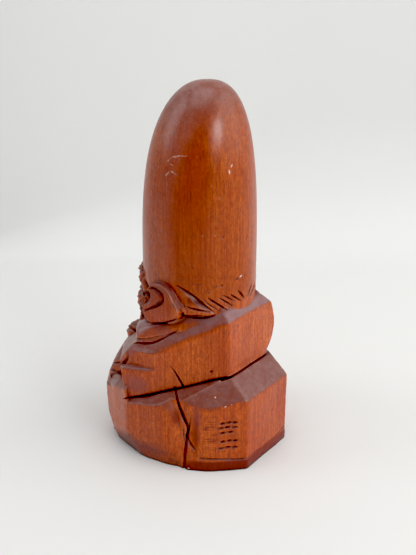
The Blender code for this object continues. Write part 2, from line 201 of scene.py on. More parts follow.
class Cut:
    """A V-shaped knife cut drawn along a line and pressed in along one way.

    line     points (mm); only their place across `out` matters
    left     width of the wall on the left of the line, right likewise
    deep     depth at each point; the cut fades where it is 0
    """

    def __init__(self, line, out, left, right, deep, soft=0.18, smooth=True, reach=4.0):
        P = np.array(line, float)
        V = np.c_[P, self.spread(left, len(P)), self.spread(right, len(P)), self.spread(deep, len(P))]
        if smooth and len(V) > 2:
            V = self.curve(V)
        self.out = np.array(out, float) / np.linalg.norm(out)
        ref = np.array([0.0, 0.0, 1.0]) if abs(self.out[2]) < 0.9 else np.array([1.0, 0.0, 0.0])
        self.u = np.cross(ref, self.out)
        self.u /= np.linalg.norm(self.u)
        self.v = np.cross(self.out, self.u)
        self.A = np.c_[V[:, :3] @ self.u, V[:, :3] @ self.v]
        self.h = V[:, :3] @ self.out
        self.val = V[:, 3:]
        self.soft = soft
        self.reach = reach
        self.deep = float(V[:, 5].max())
        w = float(V[:, 3:5].max())
        self.lo = self.A.min(0) - w - 0.5
        self.hi = self.A.max(0) + w + 0.5
        self.h0, self.h1 = self.h.min() - reach, self.h.max() + reach

    @staticmethod
    def spread(x, n):
        return np.full(n, float(x)) if np.isscalar(x) else np.array(x, float)

    @staticmethod
    def curve(V, per=5):
        out = []
        n = len(V)
        for i in range(n - 1):
            p0, p1, p2, p3 = V[max(i - 1, 0)], V[i], V[i + 1], V[min(i + 2, n - 1)]
            for k in range(per):
                t = k / per
                out.append(0.5 * (2 * p1 + (p2 - p0) * t + (2 * p0 - 5 * p1 + 4 * p2 - p3) * t * t
                                  + (3 * p1 - p0 - 3 * p2 + p3) * t ** 3))
        out.append(V[-1])
        V = np.array(out)
        V[:, 3:] = np.maximum(V[:, 3:], 0.0)
        return V

    def press(self, p, d, thr):
        m = (d > -(self.deep + thr + 0.6)) & (d < thr)
        idx = np.nonzero(m)[0]
        if len(idx) == 0:
            return
        q = p[idx]
        x = q @ self.u.astype(np.float32)
        y = q @ self.v.astype(np.float32)
        h = q @ self.out.astype(np.float32)
        g = thr * 0.5
        m = ((x > self.lo[0] - g) & (x < self.hi[0] + g) & (y > self.lo[1] - g) & (y < self.hi[1] + g)
             & (h > self.h0) & (h < self.h1))
        idx = idx[m]
        if len(idx) == 0:
            return
        x, y = x[m], y[m]
        best = np.full(len(x), 1e9, np.float32)
        side = np.zeros(len(x), np.float32)
        val = np.zeros((len(x), 3), np.float32)
        for i in range(len(self.A) - 1):
            a, b = self.A[i], self.A[i + 1]
            ab = b - a
            L2 = float(ab @ ab)
            if L2 < 1e-9:
                continue
            ex, ey = x - a[0], y - a[1]
            t = np.clip((ex * ab[0] + ey * ab[1]) / L2, 0.0, 1.0)
            cx, cy = ex - t * ab[0], ey - t * ab[1]
            dd = cx * cx + cy * cy
            up = dd < best
            best = np.where(up, dd, best)
            side = np.where(up, np.sign(ab[0] * ey - ab[1] * ex), side)
            for c in range(3):
                val[:, c] = np.where(up, self.val[i, c] + t * (self.val[i + 1, c] - self.val[i, c]), val[:, c])
        s = np.sqrt(best)
        w = np.where(side > 0, val[:, 0], val[:, 1]) + 1e-3
        dep = val[:, 2]
        L = np.sqrt(w * w + dep * dep)
        base = d[idx]
        f = ((base + dep) * w - s * dep) / L
        f = np.where(dep < 0.02, -1e3, f)
        d[idx] = smax(base, f, self.soft)


def join(p, d, thr, c, reach, shape, k=0.3):
    """Add a small body, worked out only near its centre."""
    g = reach + thr + k
    m = (np.abs(p[:, 0] - c[0]) < g) & (np.abs(p[:, 1] - c[1]) < g) & (np.abs(p[:, 2] - c[2]) < g)
    idx = np.nonzero(m)[0]
    if len(idx):
        d[idx] = smin(d[idx], shape(p[idx]), k)


def carve(p, d, thr, c, reach, shape, k=0.3):
    """Take a small body away."""
    g = reach + thr + k
    m = (np.abs(p[:, 0] - c[0]) < g) & (np.abs(p[:, 1] - c[1]) < g) & (np.abs(p[:, 2] - c[2]) < g)
    idx = np.nonzero(m)[0]
    if len(idx):
        d[idx] = smax(d[idx], -shape(p[idx]), k)


# ------------------------------------------------------------- the big forms
SEAT = [
    facet(90, 0, (0, BACK_Y, 0)),
    facet(45, 0, (BACK_HALF, BACK_Y, 0)),
    facet(28, 0, (27.6, 23.5, 0)),
    facet(0, 0, (31.6, 0, 0)),
    facet(90, 49, (0, BACK_Y, SEAT_TOP)),
    facet(37, 35, (BACK_HALF, BACK_Y - 0.1, SEAT_TOP)),
    facet(-90, 0, (0, 2.0, 0)),
    facet(-18.6, 67, (24.9, 9.5, 34.9)),
    facet(90, 80, (0, 0, 48.0)),
]
SHOULDERS = [
    facet(90, 0, (0, SLEEVE_BACK_Y, 0)),
    facet(SLEEVE_AZ, 0, (BACK_HALF, SLEEVE_BACK_Y, 0)),
    facet(90, -70.0, (0, SLEEVE_BACK_Y, SLEEVE_BOTTOM)),
    facet(88, 45, (0, SLEEVE_BACK_Y, SLEEVE_TOP)),
    facet(12.3, 31.6, (15.4, 25.9, 64.9)),
    facet(-50, 31, (37.0, -12.8, 47.2)),
    facet(-50, 0, (38.3, -14.0, 0)),
    facet(-50, -13, (38.5, -14.0, 39.5)),
    facet(-60, 50, (23.7, -24.0, 45.9)),
    facet(-72, 0, (18.0, -33.0, 0)),
    facet(-90, 0, (0, -35.5, 0)),
    facet(-90, 40, (0, -36.0, 37.0)),
]
# the cloth of the sleeve stands a little fuller towards its front rim
FOREARM = [
    facet(SLEEVE_AZ, 0, (BACK_HALF, SLEEVE_BACK_Y, 0)),
    facet(15, 58, (34.5, -7.0, 48.9)),
    facet(-50, 31, (37.0, -12.8, 47.2)),
    facet(90, 0, (0, 12.0, 0)),
    facet(180, 0, (14.0, 0, 0)),
    facet(90, -70.0, (0, SLEEVE_BACK_Y, SLEEVE_BOTTOM)),
    facet(-25, 0, way(-25) * 40.3),
    facet(-50, 0, (38.3, -14.0, 0)),
    facet(-50, -13, (38.5, -14.0, 39.5)),
    facet(-60, 50, (23.7, -24.0, 45.9)),
    facet(-90, 0, (0, -24.0, 0)),
]
# pared faces at the rim: one above the ledge, one below it, and the ledge between them
RIM_UP = facet(12.2, -9.3, (30.4, -0.1, 41.9))
RIM_LOW = facet(18.7, 8.3, (32.0, -2.7, 41.2))
RIM_LEDGE = facet(15, 62, (31.8, -6.0, 42.4))
KNEE = [
    facet(10, 0, way(10) * 36.8),
    facet(-25, 0, way(-25) * 40.0),
    facet(-58, 0, (28.5, -33.0, 0)),
    facet(-90, 0, (0, FRONT_Y, 0)),
    facet(8, -15, (34.9, -5.0, 0)),
    facet(30, -20, (33.2, 8.0, 0)),
    facet(-15, -25, (31.5, -17.8, 0)),
    facet(-45, -20, (28.5, -27.0, 0)),
    facet(-68, -22, (20.0, -32.4, 0)),
    facet(-90, -14, (0, -34.0, 0)),
    facet(34, 0, (35.3, 10.0, 0)),
    facet(40, 28, (34.6, 11.5, 24.0)),
    facet(60, 15, (36.0, 7.7, 30.2)),
    facet(-42, 48, (39.0, -10.5, 33.0)),
    facet(0, 78, (37.5, -2.0, 36.5)),
    facet(84, 0, (31.0, 15.6, 0)),
    facet(180, 0, (6.0, 0, 0)),
]
# the top of the knee is pared down where the sleeve sinks into it
KNEE_TOP = facet(-13.7, 66.5, (33.0, -4.5, 30.1))
KNEE_TIP = facet(100, 10, (38.7, -10.6, 28.0))
LAP = [
    facet(-90, 0, (0, -36.6, 0)),
    facet(-58, 0, (20.0, -36.0, 0)),
    facet(0, 0, (26.0, 0, 0)),
    facet(-90, 45, (0, -36.6, 20.0)),
    facet(90, 0, (0, 5.0, 0)),
    facet(90, 85, (0, 0, 34.0)),
]
CUFF = hull_planes([
    (2.2, -33.5, 45.0), (12.0, -32.6, 45.0), (24.5, -28.6, 41.5), (27.5, -29.5, 36.5),
    (30.0, -30.0, 32.0), (22.0, -38.0, 22.0), (23.0, -35.0, 33.0),
    (3.0, -39.0, 34.0), (3.0, -37.5, 24.0), (14.0, FOREMOST_Y, 33.0),
    (2.2, -20.0, 44.0), (27.0, -18.0, 41.0), (28.0, -15.0, 24.0), (2.2, -15.0, 24.0)])
BEARD = hull_planes([
    (0, -30.5, 60.5), (9.5, -25.0, 59.5), (-9.5, -25.0, 59.5),
    (13.0, -17.0, 60.0), (-13.0, -17.0, 60.0), (4.5, -33.0, 50.0), (-4.5, -33.0, 50.0),
    (0, -35.5, 50.0), (3.5, -39.5, 39.5), (-3.5, -39.5, 39.5), (0, FOREMOST_Y, 35.5),
    (5.5, -37.0, 42.5), (-5.5, -37.0, 42.5), (0, -15.0, 40.0), (11.0, -15.0, 46.0), (-11.0, -15.0, 46.0)])
NECKBAND = hull_planes([
    (30.2, -12.0, 57.6), (31.4, -10.6, 53.4), (30.8, -6.0, 53.9), (29.6, -3.2, 54.6),
    (27.8, -0.2, 56.2), (25.9, 2.6, 58.0), (23.5, 6.1, 60.4), (27.5, -9.0, 60.6), (26.6, -4.0, 62.0),
    (25.2, 1.0, 63.6), (23.0, 5.5, 65.6), (20.0, 10.0, 66.6), (21.3, 12.0, 62.0), (18.6, 13.9, 66.2), (14.2, 18.4, 66.4), (16.3, 20.2, 63.2),
    (16.0, -12.0, 50.0), (16.0, 8.0, 58.0), (18.0, -22.0, 57.0), (18.0, -21.0, 50.0), (26.0, -16.0, 50.6)])
# how far the far shoulder swells beyond the near one, by height
_z = np.array([38.0, 42.0, 44.0, 46.5, 49.0, 52.0, 55.0, 59.0, 63.0, 67.0, 72.0])
_w = np.array([-3.6, -1.2, 1.5, 3.5, 4.8, 5.3, 5.3, 4.7, 3.1, 1.2, 0.0])
SWELL_Z = np.linspace(36.0, 74.0, 153)
SWELL = np.convolve(np.pad(np.interp(SWELL_Z, _z, _w), 8, mode='edge'), np.ones(17) / 17.0, mode='valid')
TEMPLE = facet(-50, -35, (21.2, -13.0, 77.4))

EAR_TOP = (-1.2, 72.4, 7.2)
EAR_LOBE = (-7.0, 65.0, 4.3)
EAR_BACK = (4.4, 68.2, 4.8)


def head_sdf(p):
    z = p[:, 2]
    t = np.clip((z - HEAD_Z0) / (HEIGHT - HEAD_Z0), 0.0, 1.3)
    cy = HEAD_LEAN * np.minimum(t, 1.0) ** 3.4 - 0.2
    y = p[:, 1] - cy
    rho = np.sqrt(p[:, 0] ** 2 + y * y) + 1e-4
    az = np.arctan2(y, p[:, 0])
    rho = rho * (1.0 + 0.004 * np.cos(3.0 * az + 0.7) + 0.003 * np.cos(7.0 * az + z * 0.05))
    e = 1.0 / 0.419
    u = rho / HEAD_R
    F = u ** e + t ** 3 - 1.0
    gr = e * u ** (e - 1.0) / HEAD_R
    gz = 3.0 * t * t / (HEIGHT - HEAD_Z0)
    g = np.sqrt(gr * gr + gz * gz)
    return np.clip(F / np.maximum(g, 0.03), -12.0, 60.0)


def ear_sdf(p):
    x, y, z = p[:, 0], p[:, 1], p[:, 2]
    d2 = smin(uneven(y, z, EAR_TOP, EAR_LOBE), uneven(y, z, EAR_TOP, EAR_BACK), 1.0)
    d2 = smin(d2, uneven(y, z, EAR_LOBE, EAR_BACK), 1.0)
    top = 27.0 + 0.05 * (y + 2.0) + 0.05 * np.clip(z - 66.0, -8.0, 12.0) - 0.035 * np.clip(-6.0 - y, 0, 9) ** 1.5
    # the rim stands proud, the flat of the ear dips inside it
    up = step(z, 66.0, 72.0)
    top = top - 0.40 * up * step(-d2, 0.7, 1.7) + 0.25 * up * step(-d2, 3.0, 7.0)
    dx = x - top
    r = 0.8
    a, b = d2 + r, dx + r
    out = np.sqrt(np.maximum(a, 0) ** 2 + np.maximum(b, 0) ** 2) + np.minimum(np.maximum(a, b), 0.0) - r
    return np.maximum(out, 16.0 - x)


# -------------------------------------------------------- the knife's lines
SEEN = way(CAM_AZ, 23.0)               # from the lower body towards the viewer
SEEN_LOW = way(CAM_AZ, 27.0)
SEEN_TOP = way(CAM_AZ, 20.0)


def near(az, z, r=24.4):
    a = math.radians(az)
    return (r * math.cos(a), r * math.sin(a), z)


PAIRED = [
    # crease between knee and seat, upper half then lower half
    Cut([(33.2, 11.2, 38.5), (32.5, 12.4, 33.0), (32.0, 13.4, 29.7), (31.2, 15.1, 25.3), (30.5, 16.3, 21.8), (30.4, 16.5, 18.0)],
        SEEN_LOW, [0.5, 0.6, 0.7, 0.8, 0.7, 0.4], [0.4, 0.4, 0.5, 0.6, 0.5, 0.4], [0.8, 1.0, 1.2, 1.3, 1.1, 0.4], reach=9),
    Cut([(29.6, 17.9, 26.3), (30.3, 16.7, 19.4), (30.8, 15.8, 13.4), (31.1, 15.2, 8.0), (31.3, 14.8, 3.1), (31.3, 14.8, -2.0)],
        SEEN_LOW, [0.5, 0.8, 1.0, 1.0, 1.0, 1.0], [0.4, 0.6, 0.6, 0.6, 0.7, 0.8], [0.3, 0.9, 1.05, 0.95, 0.90, 0.90], reach=9),
    Cut([(30.9, 15.9, 17.0), (29.9, 17.6, 12.3), (28.8, 19.6, 8.7)],
        SEEN_LOW, [0.4, 0.6, 0.3], [0.5, 0.9, 0.4], [0.6, 0.9, 0.15], reach=9),
    Cut([(31.4, 14.9, 19.2), (31.3, 15.1, 14.0)], SEEN_LOW, 0.35, 0.35, [0.5, 0.3], reach=9),
    # long cut under the sleeve
    Cut([(38.6, -13.2, 27.6), (36.6, -10.6, 28.3), (33.0, -4.5, 29.9), (28.5, 3.2, 32.6), (24.7, 9.8, 34.7), (18.3, 21.0, 38.9), (15.0, 26.6, 40.7)],
        SEEN_LOW, [0.2, 0.35, 0.45, 0.4, 0.35, 0.35, 0.3], [0.2, 0.4, 0.55, 0.5, 0.45, 0.45, 0.4], [0.3, 0.8, 1.1, 1.1, 1.1, 1.2, 1.0], reach=7),
    Cut([(17.5, 26.5, 40.5), (9.0, 26.6, 40.6), (0.0, 26.6, 40.6), (-9.0, 26.6, 40.6), (-17.5, 26.5, 40.5)],
        way(90, 25), 0.4, 0.5, 1.2, smooth=False, reach=5),
    # slanting nick on the sleeve
    Cut([(27.7, 4.8, 44.9), (26.2, 7.4, 39.8), (24.9, 9.7, 35.0)], way(SLEEVE_AZ, 10), [0.15, 0.4, 0.5], [0.2, 0.45, 0.5], [0.25, 0.9, 1.3], soft=0.1, reach=6),
    # small cut at the front rim of the sleeve
    Cut([(39.2, -14.6, 40.8), (39.8, -16.4, 38.2), (38.6, -18.0, 36.0)], way(0, 25), 0.4, 0.4, [0.1, 0.28, 0.15], reach=6),
    Cut([(35.0, -13.6, 50.4), (35.2, -14.2, 46.5), (35.0, -17.0, 42.0), (35.4, -17.6, 39.4)], way(-14, 30), [0.8, 1.0, 0.8, 0.4], [0.3, 0.4, 0.4, 0.3], [0.3, 0.7, 0.6, 0.2], reach=7),
    Cut([(36.2, -15.6, 40.6), (33.2, -21.6, 37.6), (31.6, -26.0, 34.4), (30.6, -30.6, 30.6)], way(-20, 25), [0.5, 0.8, 0.9, 0.6], [0.5, 0.7, 0.8, 0.6], [0.3, 0.7, 0.8, 0.6], reach=7),
    Cut([(29.5, -22.5, 41.0), (28.4, -27.0, 37.6), (26.0, -33.0, 34.6)], way(-30, 30), 0.6, 0.8, [0.3, 1.0, 0.8], reach=7),
    # under the neckband
    Cut([(33.2, -12.6, 51.9), (31.8, -10.2, 52.5), (30.7, -6.4, 52.8), (29.6, -3.2, 53.7), (27.8, -0.2, 55.4), (25.9, 2.6, 57.4), (23.0, 7.0, 60.4)],
        way(14, 24), [0.3, 0.6, 0.7, 0.7, 0.6, 0.5, 0.2], [0.3, 0.5, 0.6, 0.6, 0.6, 0.5, 0.2], [0.3, 0.8, 1.0, 0.9, 0.8, 0.6, 0.1], reach=8),
    # ear: hook-shaped cut, its outer wall steep, its inner wall a long slope
    Cut([(26.7, -6.6, 76.6), (26.7, -4.9, 77.3), (26.7, -2.9, 77.4), (26.7, -0.6, 76.6), (26.7, 0.9, 75.2), (26.7, 1.3, 73.7), (26.7, 0.4, 71.7), (26.7, -2.4, 69.6), (26.7, -5.8, 67.8), (26.7, -9.6, 65.9)],
        way(CAM_AZ - 14, 16), [0.2, 0.35, 0.4, 0.45, 0.45, 0.45, 0.5, 0.5, 0.5, 0.4], [0.3, 0.8, 1.3, 1.8, 2.1, 2.1, 1.8, 1.3, 0.9, 0.4],
        [0.25, 0.65, 1.0, 1.25, 1.35, 1.35, 1.2, 1.0, 0.8, 0.4], soft=0.12, reach=6),
    # behind the lobe, where the ear meets the neck
    Cut([(25, 9.6, 70.0), (25, 9.6, 67.8), (25, 8.8, 65.9)], way(22, 6), 0.3, 0.4, [0.15, 0.6, 0.5], reach=5),
    # under the lobe
    Cut([(25, 8.0, 66.0), (25, 2.4, 63.2), (25, -4.5, 60.6), (25, -10.5, 58.6)], way(12, 10), 0.4, 0.4, [0.5, 0.6, 0.35, 0.2], reach=6),
    # slanting cut behind the ear: steep above, long slope below
    Cut([near(15, 79.6), near(27.5, 76.7), near(38, 72.8), near(50, 68.4)], SEEN_TOP, [0.2, 0.35, 0.4, 0.25], [0.5, 1.6, 2.2, 0.8],
        [0.3, 1.3, 1.5, 0.4], soft=0.12, reach=7),
    Cut([near(24, 70.6), near(35, 69.7), near(46, 68.7)], SEEN_TOP, 0.3, 0.5, [0.4, 0.8, 0.4], soft=0.12, reach=6),
    Cut([near(18, 69.4), near(20, 67.2)], SEEN_TOP, 0.4, 0.4, [0.5, 0.5], reach=6),
    # where the head sinks into the shoulders
    Cut([near(10, 66.0, 23), near(28, 66.2, 23.5), near(40, 66.4), near(52, 67.0), near(63, 68.7), near(74, 69.9), near(88, 70.6)],
        way(52, 24), 0.3, 0.4, [0.5, 0.6, 0.5, 0.3, 0.15, 0.1, 0.1], reach=7),
    # edges of the robe down the lap
    Cut([(0.5, -37.0, 27.0), (5.0, -38.0, 16.0), (10.0, -38.5, 6.0), (12.0, -38.5, -1.0)], way(-90, 10), 0.7, 1.3, [0.8, 1.6, 1.9, 1.9], reach=8),
    Cut([(15.0, -38.0, 23.0), (17.5, -38.5, 12.0), (17.0, -38.5, -1.0)], way(-84, 10), 1.1, 0.7, [0.5, 1.7, 1.9], reach=8),
    Cut([(26.0, -36.0, 24.0), (25.0, -36.0, 14.0), (22.0, -37.0, 6.0)], way(-64, 10), 0.8, 0.8, [0.3, 1.2, 0.6], reach=8),
    # mouth of the wide sleeve in front and folds running out of it
    Cut([(3.2, -36.0, 44.0), (9.5, -38.6, 42.2), (16.0, -38.0, 39.0), (19.0, -38.5, 33.0), (16.0, -39.4, 27.0), (8.0, -39.0, 24.6)],
        way(-80, 20), 0.7, 1.3, [0.8, 1.7, 1.8, 1.8, 1.6, 0.8], reach=8),
    Cut([(20.5, -37.5, 36.0), (27.0, -33.0, 34.0), (33.5, -25.0, 35.0)], way(-60, 20), 0.5, 1.0, [1.1, 1.2, 0.3], reach=8),
    Cut([(20.0, -37.8, 30.0), (27.0, -34.0, 26.5), (32.5, -27.0, 27.5)], way(-60, 15), 0.5, 0.9, [0.9, 1.0, 0.2], reach=8),
    # edge of the robe on the chest
    Cut([(19.5, -24.0, 55.0), (14.0, -31.0, 50.0), (10.5, -35.5, 46.5)], way(-70, 35), 0.7, 0.7, [0.9, 1.1, 0.7], reach=8),
    # eye: a calm, nearly closed lid, and the fold above it
    Cut([(4.2, -26, 69.9), (6.4, -26, 69.2), (8.8, -26, 69.1), (11.6, -25, 69.9), (13.0, -24, 70.5)], way(-80, 5), 0.35, 0.45, [0.3, 0.7, 0.8, 0.6, 0.2], soft=0.1, reach=7),
    Cut([(4.0, -26, 71.8), (6.8, -26, 72.8), (10.0, -25, 72.7), (12.8, -24, 71.4)], way(-78, 5), 0.4, 0.4, [0.2, 0.45, 0.45, 0.15], soft=0.1, reach=7),
    # from the wing of the nose down beside the moustache
    Cut([(4.3, -28, 66.0), (7.0, -28, 64.0), (10.4, -27, 62.6)], way(-75, 5), 0.6, 0.8, [0.5, 0.8, 0.3], soft=0.15, reach=7),
    # two faint lines across the forehead
    Cut([(0.0, -26, 84.5), (4.5, -26, 84.9), (9.0, -24, 84.0)], way(-78, 3), 0.5, 0.5, [0.45, 0.45, 0.1], soft=0.2, reach=7),
    Cut([(0.0, -26, 88.8), (4.0, -26, 89.2), (7.5, -25, 88.6)], way(-80, 3), 0.5, 0.5, [0.35, 0.35, 0.1], soft=0.2, reach=7),
]

# hair line on the nape: short strokes that slant down towards the middle
HAIR = []
for line, w, dep in [
        ([(39.3, 74.5), (46.0, 71.8), (53.9, 69.3)], 0.34, 0.55),
        ([(44.1, 74.9), (48.9, 73.4), (56.9, 70.9), (63.3, 68.9)], 0.42, 0.75),
        ([(54.9, 74.5), (61.1, 72.8), (70.1, 69.9)], 0.38, 0.65),
        ([(58.9, 75.4), (65.4, 73.8), (73.7, 71.3)], 0.34, 0.55),
        ([(65.4, 76.0), (72.4, 73.7), (81.8, 70.9)], 0.40, 0.70),
        ([(76.1, 76.6), (80.2, 74.7), (86.3, 71.7)], 0.48, 0.80),
        ([(102.1, 76.4), (97.3, 75.2), (89.7, 72.2)], 0.30, 0.35),
        ([(112.0, 74.9), (104.5, 73.3), (95.5, 71.0)], 0.30, 0.35)]:
    for m in (1, -1):
        if m < 0 and line[0][0] > 90:
            continue
        pts = [near(a if m > 0 else 180.0 - a - 1.0, z + (0.0 if m > 0 else 0.3)) for a, z in line]
        k = len(pts)
        wide = [0.12] + [w] * (k - 2) + [w * 0.7]
        HAIR.append(Cut(pts, way(0.5 * (line[0][0] + line[-1][0]) if m > 0 else 180.0 - 0.5 * (line[0][0] + line[-1][0]), 6),
                        wide, wide, [0.1] + [dep] * (k - 2) + [dep * 0.5], soft=0.08, reach=4))

# the carved mark: staggered rows of short chisel strokes that spell nothing
MARK = []
for zc, starts, size in [(22.9, (23.6, 21.7, 19.9), 1.45), (20.7, (24.3, 22.2, 20.0), 1.60), (18.3, (23.7, 21.4), 1.70),
                         (14.2, (23.4, 21.5, 19.7), 1.35), (11.1, (24.2, 22.1, 20.0), 1.65)]:
    for k, a in enumerate(starts):
        b = a - size
        lift = 0.16 if k % 2 else -0.10
        MARK.append(Cut([(a, 51.8 - a, zc - 0.2 + lift), (0.5 * (a + b), 51.8 - 0.5 * (a + b), zc + lift), (b, 51.8 - b, zc + 0.1 + lift)],
                        way(45), [0.50, 0.72, 0.45], [0.34, 0.46, 0.34], [0.45, 0.85, 0.45], soft=0.1, reach=3))

# a few shallow knocks and scratches from use, on the side that shows
KNOCKS = [
    (near(59.3, 99.9), 0.45, 0.25), (near(58, 79.6), 0.55, 0.4), (near(75, 127.0), 0.6, 0.3),
    ((18.8, 20.2, 42.5), 0.6, 0.6), (near(45, 77.0), 0.45, 0.3), (near(30, 88.0), 0.5, 0.25),
    ((5.0, 26.5, 55.0), 0.6, 0.3), ((-4.0, 36.5, 20.0), 0.7, 0.3), ((38.0, -4.0, 17.0), 0.6, 0.3),
    ((24.0, 14.0, 48.0), 0.5, 0.25), ((39.5, -14.0, 24.0), 0.6, 0.3),
]


def strands(q, d, c, reach, u, period, amp):
    """Fine carved strands inside a ball: u is measured across them."""
    g = reach
    m = (np.abs(q[:, 0] - c[0]) < g[0]) & (np.abs(q[:, 1] - c[1]) < g[1]) & (np.abs(q[:, 2] - c[2]) < g[2]) & (np.abs(d) < 2.5)
    idx = np.nonzero(m)[0]
    if len(idx) == 0:
        return
    s = q[idx]
    e = np.sqrt(((s[:, 0] - c[0]) / g[0]) ** 2 + ((s[:, 1] - c[1]) / g[1]) ** 2 + ((s[:, 2] - c[2]) / g[2]) ** 2)
    fade = 1.0 - step(e, 0.72, 1.0)
    v = u(s) / period
    tri = np.abs(2.0 * (v - np.floor(v)) - 1.0)
    d[idx] += amp * fade * (tri ** 1.6)


def figure(p, thr=1.0):
    """Signed distance (mm) to the carved figure; p is (N, 3) float32."""
    p = p.astype(np.float32)
    raw = p
    # the hand is not a machine: facets wander by a fraction of a millimetre
    w = np.empty_like(p)
    w[:, 0] = p[:, 0] + 0.20 * wob(p, 31.0, 0.4) + 0.06 * wob(p, 9.0, 1.1)
    w[:, 1] = p[:, 1] + 0.20 * wob(p, 27.0, 1.9)
    w[:, 2] = p[:, 2] + 0.16 * wob(p, 23.0, 2.7)
    low = step(104.0 - p[:, 2], 0.0, 12.0)[:, None]
    p = p + (w - p) * low
    q = p.copy()
    q[:, 0] = np.abs(q[:, 0])

    d = head_sdf(raw)
    m = q[:, 2] < 62.0 + 26.0
    low = np.nonzero(m)[0]
    if len(low):
        s = q[low]
        # the far side was pared less: the shoulder swells, the seat is a little wider
        far = step(-p[low, 0], 3.0, 13.0)
        r = s.copy()
        r[:, 0] -= far * np.interp(s[:, 2], SWELL_Z, SWELL).astype(np.float32)
        t = s.copy()
        t[:, 0] -= far * 1.3
        e = convex(t, SEAT[:-2], 0.8)
        for f in SEAT[-2:]:
            e = smax(e, flat(t, f), 0.25)
        h = smin(convex(r, SHOULDERS, 1.0), convex(s, FOREARM, 0.8), 0.6)
        rim = smin(flat(s, RIM_UP), smax(flat(s, RIM_LOW), flat(s, RIM_LEDGE), 0.7), 0.15)
        h = smax(h, rim, 0.5)
        e = smin(e, h, 0.25)
        k = convex(s, KNEE, 1.5)
        k = smax(k, smin(flat(s, KNEE_TOP), flat(s, KNEE_TIP), 0.3), 0.6)
        e = smin(e, k, 0.2)
        e = smin(e, convex(s, LAP, 1.2), 0.5)
        e = smin(e, convex(s, CUFF, 1.6), 0.5)
        e = smin(e, convex(s, NECKBAND, 1.8), 0.3)
        # the temple is cut back under the dome
        top = smax(d[low], flat(s, TEMPLE), 0.4)
        # the neck is cut in a little under the line of the nape
        neck = np.sqrt(s[:, 0] ** 2 + (s[:, 1] + 0.2) ** 2) - HEAD_R - 1.0 + 3.4 * (1.0 - step(s[:, 2], 66.5, 67.2))
        top = np.where(s[:, 1] > -2.0, smax(top, neck, 0.25), top)
        d[low] = smin(np.where(s[:, 2] < 52.0, 40.0, top), e, 0.25)
    # beard, side beard, cheeks, brows, nose, moustache, hands
    join(q, d, thr, (5, -28, 48), 16, lambda s: convex(s, BEARD, 1.8), 0.5)
    join(q, d, thr, (13, -18, 64), 11, lambda s: egg(s, (13.4, -17.4, 65.6), (6.2, 6.0, 8.6), turn(0, 0, 30)), 0.8)
    join(q, d, thr, (10.5, -19.5, 66), 9, lambda s: egg(s, (9.8, -19.8, 66.0), (6.6, 5.6, 6.4), turn(0, 0, 24)), 1.2)
    carve(q, d, thr, (8.4, -27.0, 71), 8, lambda s: egg(s, (8.4, -27.4, 71.2), (6.2, 4.2, 3.8), turn(0, 0, 18)), 1.6)
    join(q, d, thr, (8.3, -23.0, 70.2), 6, lambda s: egg(s, (8.3, -22.2, 70.3), (4.4, 3.0, 2.7), turn(0, 0, 18)), 0.4)
    join(q, d, thr, (11, -20, 76), 13, lambda s: tusk(s, [(2.8, -24.0, 76.2), (7.6, -23.4, 78.4), (12.6, -20.4, 79.4), (16.6, -16.6, 77.4), (18.6, -14.0, 73.4)],
                                                    [1.8, 2.6, 2.9, 3.2, 2.6]), 0.8)
    join(q, d, thr, (0, -26, 70), 10, lambda s: tusk(s, [(0, -23.6, 77.0), (0, -26.6, 70.0), (0, -28.4, 65.8)], [2.0, 2.2, 2.8]), 1.0)
    join(q, d, thr, (3, -27, 65), 5, lambda s: egg(s, (3.0, -27.0, 65.0), (2.3, 2.6, 2.0)), 0.7)
    join(q, d, thr, (0, -27, 58.5), 5, lambda s: egg(s, (0.0, -29.0, 58.4), (3.4, 1.9, 1.3)), 0.4)
    join(q, d, thr, (7.5, -28, 59), 13, lambda s: tusk(s, [(0.8, -29.2, 62.6), (4.4, -29.2, 61.9), (7.6, -27.2, 59.4), (8.8, -26.4, 55.0), (8.6, -28.0, 50.0)],
                                                     [1.5, 2.3, 2.2, 1.6, 0.7]), 0.4)
    join(q, d, thr, (7.5, -33.5, 46.2), 10, lambda s: egg(s, (7.0, -31.2, 44.2), (6.2, 5.6, 5.4), turn(0, 0, 12)), 0.5)
    join(q, d, thr, (25, -3, 69), 14, ear_sdf, 0.25)
    # the hollow of the ear and of the temple
    carve(q, d, thr, (27, -8.9, 72.4), 6, lambda s: egg(s, (27.4, -8.9, 72.4), (4.4, 2.7, 3.9), turn(-14, 0, 0)), 0.5)
    for c in PAIRED:
        c.press(q, d, thr)
    for c in HAIR:
        c.press(raw, d, thr)
    for c in MARK:
        c.press(raw, d, thr)

    # low cut above the base slab, round the back
    m = (p[:, 1] > 8.0) & (np.abs(p[:, 2] - 5.5) < 4.0 + thr) & (d < thr) & (d > -(3.0 + thr))
    idx = np.nonzero(m)[0]
    if len(idx):
        s = q[idx]
        z0 = HEM_Z + 1.3 * step(s[:, 0], 14.0, 30.0) + 1.6 * step(-p[idx, 0], 6.0, 20.0)
        side = s[:, 2] - z0
        dep = (0.25 + 0.30 * step(s[:, 0], 15.0, 17.0) + 0.7 * step(-p[idx, 0], 12.0, 16.0)) * (1.0 - step(s[:, 0], 27.6, 30.0))
        wall = np.where(side > 0, 0.35, 0.5)
        f = ((d[idx] + dep) * wall - np.abs(side) * dep) / np.sqrt(wall * wall + dep * dep)
        f = np.where(dep < 0.02, -1e3, f)
        d[idx] = smax(d[idx], f, 0.12)

